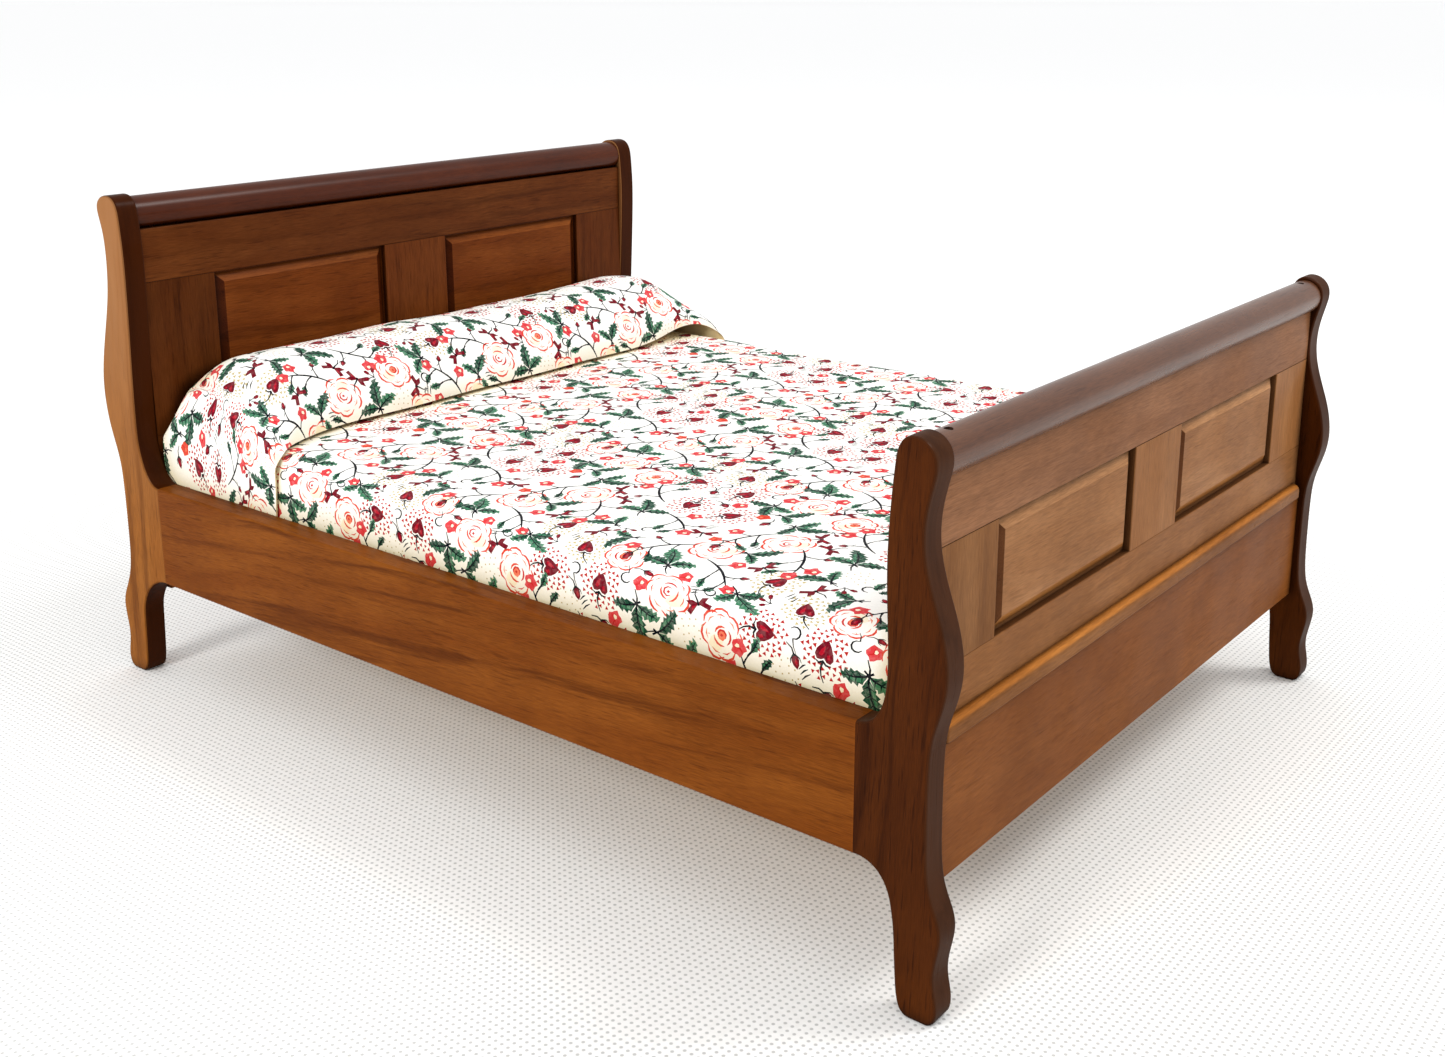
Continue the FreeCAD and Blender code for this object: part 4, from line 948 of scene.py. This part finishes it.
def cover_surface():
    rows = [
        fall(-67.72, 39.2, 39.2, 82.4, 49.2),
        fall(-67.74, 43.4, 43.4, 84.0, 48.7),
        mound(-67.74, 47.4, 46.6, 0.9, 84.3, 48.5),
        mound(-67.62, 50.1, 48.8, 3.6, 83.9, 48.6),
        mound(-66.95, 51.8, 50.3, 6.3, 82.9, 49.0),
        mound(-65.20, 52.7, 51.5, 8.0, 83.0, 49.7),
        station(-62.2, 0.665, (51.0, 52.6), 0.0, back=83.6),
        station(-57.5, 0.915, (53.1, 52.65)),
        station(-52.5, 1.0, (54.6, 52.65)),
        station(-46.0, 1.0, (55.5, 52.7)),
        station(-30.0, 1.0, (55.3, 52.7)),
        station(-12.0, 1.0, (55.8, 52.7)),
        station(8.0, 0.995, (55.6, 52.7)),
        station(28.0, 1.0, (55.9, 52.7)),
        station(42.0, 1.0, (55.8, 52.75)),
        station(49.5, 0.985, (56.0, 53.5)),
        station(56.0, 0.88, (56.2, 54.6)),
        station(60.8, 0.66, (55.4, 55.0)),
        station(64.3, 0.42, (53.6, 54.2), 0.4),
        station(66.3, 0.30, (51.6, 52.6), 0.6),
        fall(67.35, 53.2, 50.3, 84.2, 50.2),
        fall(67.70, 49.0, 47.6, 84.3, 49.8),
        fall(67.74, 44.0, 43.6, 84.3, 49.9),
        fall(67.72, 39.4, 39.2, 84.0, 50.2),
    ]
    grid = np.array(rows)
    # even parameters: mean distance along each way
    ss = np.concatenate([[0], np.cumsum(np.linalg.norm(np.diff(grid, axis=0), axis=2).mean(axis=1))])
    mid = grid[9]
    tt = np.concatenate([[0], np.cumsum(np.linalg.norm(np.diff(mid, axis=0), axis=1))])
    across = natural(tt, grid.transpose(1, 0, 2), np.linspace(0, tt[-1], 141))
    dense = natural(ss, across.transpose(1, 0, 2), np.linspace(0, ss[-1], 641))
    return dense, ss[-1], tt[-1]


def bolster():
    dense, width, depth = cover_surface()
    ni, nj = dense.shape[:2]

    def sample(f):
        s = np.clip(f[:, 0] / width * (ni - 1), 0, ni - 1.0001)
        t = np.clip(f[:, 1] / depth * (nj - 1), 0, nj - 1.0001)
        i, j = s.astype(int), t.astype(int)
        a, b = (s - i)[:, None], (t - j)[:, None]
        p = dense[i, j] * (1 - a) * (1 - b) + dense[i + 1, j] * a * (1 - b) + dense[i, j + 1] * (1 - a) * b + dense[i + 1, j + 1] * a * b
        return p

    def normals(f):
        e = 0.45
        du = sample(f + (e, 0)) - sample(f - (e, 0))
        dv = sample(f + (0, e)) - sample(f - (0, e))
        n = np.cross(dv, du)
        return n / np.maximum(np.linalg.norm(n, axis=1, keepdims=True), 1e-9)

    def shape(f):
        """The draped surface with its soft creases."""
        p, n = sample(f), normals(f)
        u, v = f[:, 0], f[:, 1]
        xs = p[:, 0]
        mid = np.clip((60 - np.abs(xs)) / 14, 0, 1) * np.clip((depth - v) / 6, 0, 1) * np.clip(v / 8, 0, 1)
        soft = mid * (0.20 * np.sin(u / 9.7 + v / 15.0) + 0.12 * np.sin(u / 4.6 - v / 7.0 + 1.0) - 0.2)
        # pulled folds that fan out over the two ends
        near = np.clip((-xs - 52) / 7, 0, 1) * np.clip((67.3 + xs) / 1.6, 0, 1) * np.clip((depth - v) / 5, 0, 1) * np.clip(v / 5, 0, 1)
        far = np.clip((xs - 50) / 7, 0, 1) * np.clip((67.3 - xs) / 1.6, 0, 1) * np.clip((depth - v) / 5, 0, 1) * np.clip(v / 5, 0, 1)
        folds = near * 0.26 * np.sin((v + 0.42 * (u - 22)) / 2.9) + far * 0.30 * np.sin((v - 0.5 * (width - u - 22)) / 3.1 + 1.0)
        return p + n * (soft + folds)[:, None], n

    cuts_u = [k * 1.6 for k in range(1, int(width / 1.6)) if k * 1.6 < 40 or k * 1.6 > width - 40] + [40 + k * 4.0 for k in range(0, int((width - 80) / 4.0) + 1)]
    cuts_v = list(np.arange(1.6, depth - 0.4, 1.6))
    flat, tri, ink = cloth_cut((0.0, 0.0), (width, depth), cuts_u, cuts_v, (6.0, 21.0))
    p, n = shape(flat)
    e = 0.2
    n2 = np.cross(shape(flat + (0, e))[0] - shape(flat - (0, e))[0], shape(flat + (e, 0))[0] - shape(flat - (e, 0))[0])
    n2 = n2 / np.maximum(np.linalg.norm(n2, axis=1, keepdims=True), 1e-9)
    first = p[tri[:, 1]] - p[tri[:, 0]], p[tri[:, 2]] - p[tri[:, 0]]
    if (np.cross(*first) * n[tri[:, 0]]).sum() < 0:
        tri = tri[:, ::-1]
    edge = (flat[:, 0] < 1) | (flat[:, 0] > width - 1) | (flat[:, 1] < 1) | (flat[:, 1] > depth - 1)
    nn = np.where(edge[:, None], n, n2)
    # the reverse of the cloth: a plain grid just inside, and a rim between
    thick = 0.30
    gu = np.unique(np.concatenate([[0.0], cuts_u, [width]]))
    gv = np.unique(np.concatenate([[0.0], cuts_v, [depth]]))
    uu, vv = np.meshgrid(gu, gv, indexing="ij")
    back = np.stack([uu.ravel(), vv.ravel()], axis=1)
    pb, nb = shape(back)
    inner = pb - nb * thick
    m = len(gv)
    quads = [(i * m + j, i * m + j + 1, (i + 1) * m + j + 1, (i + 1) * m + j) for i in range(len(gu) - 1) for j in range(m - 1)]
    test = np.cross(inner[quads[50][1]] - inner[quads[50][0]], inner[quads[50][2]] - inner[quads[50][0]])
    if test @ nb[quads[50][0]] > 0:
        quads = [q[::-1] for q in quads]
    ring = [(i, 0) for i in range(len(gu))] + [(len(gu) - 1, j) for j in range(1, m)] + [(i, m - 1) for i in range(len(gu) - 2, -1, -1)] + [(0, j) for j in range(m - 2, 0, -1)]
    idx = [i * m + j for i, j in ring]
    rim = np.vstack([pb[idx], inner[idx]])
    k = len(idx)
    centre = pb.mean(axis=0)
    rim_faces = [(i, (i + 1) % k, k + (i + 1) % k, k + i) for i in range(k)]
    hem_n = rim[:k] - pb[[min(max(i, 1), len(gu) - 2) * m + min(max(j, 1), m - 2) for i, j in ring]]
    hem_n = np.vstack([hem_n, hem_n])
    cover = cloth_object("bolster_drape", [(flat, p, nn, tri, ink), (back, inner, -nb, quads, [PLAIN] * len(quads)), (np.vstack([back[idx], back[idx]]), rim, hem_n, rim_faces, [PLAIN] * len(rim_faces))], COTTON)
    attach(cover, "bolster")
    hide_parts("bolster_cover")

    # the filled pad under it, in plain calico
    ends = [(-60.4, 0.10), (-60.2, 0.28), (-59.4, 0.50), (-57.6, 0.70), (-54.5, 0.86), (-50.0, 0.935), (-40.0, 0.95), (-20.0, 0.955), (0.0, 0.95), (20.0, 0.955), (40.0, 0.95), (50.0, 0.93), (54.5, 0.84), (57.6, 0.66), (59.4, 0.45), (60.2, 0.25), (60.4, 0.10)]
    ymid = 70.3
    loop = np.vstack([PROFILE[1:-1], [(57.0, 53.4), (59.5, 52.45), (65.0, 52.4), (72.0, 52.4), (78.0, 52.4), (82.0, 52.5), (83.4, 53.6)]])
    base_z = 52.42
    pts, faces = [], []
    nl = len(loop)
    for x, f in ends:
        fy = 0.5 + 0.5 * f if f > 0.3 else 0.35 + f
        for y, z in loop:
            yy = ymid + (y - 70.0) * 0.955 * fy / (0.5 + 0.5 * 0.95)
            pts.append((x, yy, base_z + max(z - 52.4, 0) * f * 0.995))
    for i in range(len(ends) - 1):
        for j in range(nl):
            faces.append((i * nl + j, i * nl + (j + 1) % nl, (i + 1) * nl + (j + 1) % nl, (i + 1) * nl + j))
    faces.append(tuple(range(nl))[::-1])
    faces.append(tuple((len(ends) - 1) * nl + j for j in range(nl)))
    me = bpy.data.meshes.new("bolster_pad")
    me.from_pydata((np.array(pts) * MM).tolist(), [], faces)
    bm = bmesh.new()
    bm.from_mesh(me)
    bmesh.ops.recalc_face_normals(bm, faces=bm.faces)
    bm.to_mesh(me)
    bm.free()
    me.polygons.foreach_set("use_smooth", np.ones(len(me.polygons), bool))
    layer = me.color_attributes.new("print", "FLOAT_COLOR", "CORNER")
    layer.data.foreach_set("color", np.tile(np.array((*CALICO, 0.0), np.float32), len(me.loops)))
    uv = me.uv_layers.new(name="cloth")
    co = np.array([v.co[:] for v in me.vertices]) / MM
    li = np.array([l.vertex_index for l in me.loops])
    uv.data.foreach_set("uv", np.stack([co[li, 0], co[li, 1] + co[li, 2]], axis=1).astype(np.float32).ravel())
    me.materials.append(COTTON)
    pad = link(bpy.data.objects.new("bolster_pad", me))
    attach(pad, "bolster")
    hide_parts("bolster_core")


mattress()
bolster()


# ------------------------------------------------------------- stage, lights
def stage():
    me = bpy.data.meshes.new("floor")
    r = 14.0
    me.from_pydata([(-r, -r, -0.00004), (r, -r, -0.00004), (r, r, -0.00004), (-r, r, -0.00004)], [], [(0, 1, 2, 3)])
    ob = link(bpy.data.objects.new("floor", me))
    net = Net("floor_paper")
    co = net.add("TexCoord").outputs["Object"]
    n = net.noise(co, 900.0, 3.0)
    s = net.add("SeparateXYZ", {0: co})
    # a sheet of dimpled white paper: rows of small dots; further off, dots and grey are painted out to white, a painted
    # glare
    k = 2 * math.pi / 0.00165
    a = net.math("SINE", net.math("MULTIPLY", net.math("ADD", s.outputs[0], s.outputs[1]), k * 0.7071))
    b = net.math("SINE", net.math("MULTIPLY", net.math("SUBTRACT", s.outputs[0], s.outputs[1]), k * 0.7071))
    dots = net.ramp(net.math("MULTIPLY", a, b), 0.30, 0.85)
    painted_glare = net.ramp(net.add("VectorMath", {0: co}, operation="LENGTH").outputs["Value"], 0.18, 0.55)
    c = net.mix(net.ramp(n, 0.3, 0.7), (0.90, 0.90, 0.885), (0.94, 0.94, 0.93))
    c = net.mix(net.math("MULTIPLY", dots, 0.75), c, (0.42, 0.42, 0.415))
    c = net.mix(painted_glare, c, (0.985, 0.985, 0.985))
    net.principled(**{"Base Color": c, "Roughness": 0.95, "Specular IOR Level": 0.1})
    me.materials.append(net.mat)
    w = bpy.data.worlds.new("studio")
    scene.world = w
    w.use_nodes = True
    w.node_tree.nodes["Background"].inputs[0].default_value = (0.99, 0.995, 1.0, 1.0)
    w.node_tree.nodes["Background"].inputs[1].default_value = 1.0

    def soft(name, at, aim, size, power, colour):
        la = bpy.data.lights.new(name, "AREA")
        la.shape = "DISK"
        la.size = size
        la.energy = power
        la.color = colour
        lo = link(bpy.data.objects.new(name, la))
        lo.location = at
        lo.rotation_euler = (Vector(aim) - Vector(at)).to_track_quat("-Z", "Y").to_euler()

    soft("key_light", (0.42, -0.47, 0.86), (0, 0, 0.04), 0.34, 3.9, (1.0, 0.985, 0.96))
    soft("side_light", (-0.80, 0.02, 0.50), (0, 0, 0.05), 0.26, 3.4, (1.0, 0.99, 0.97))


stage()
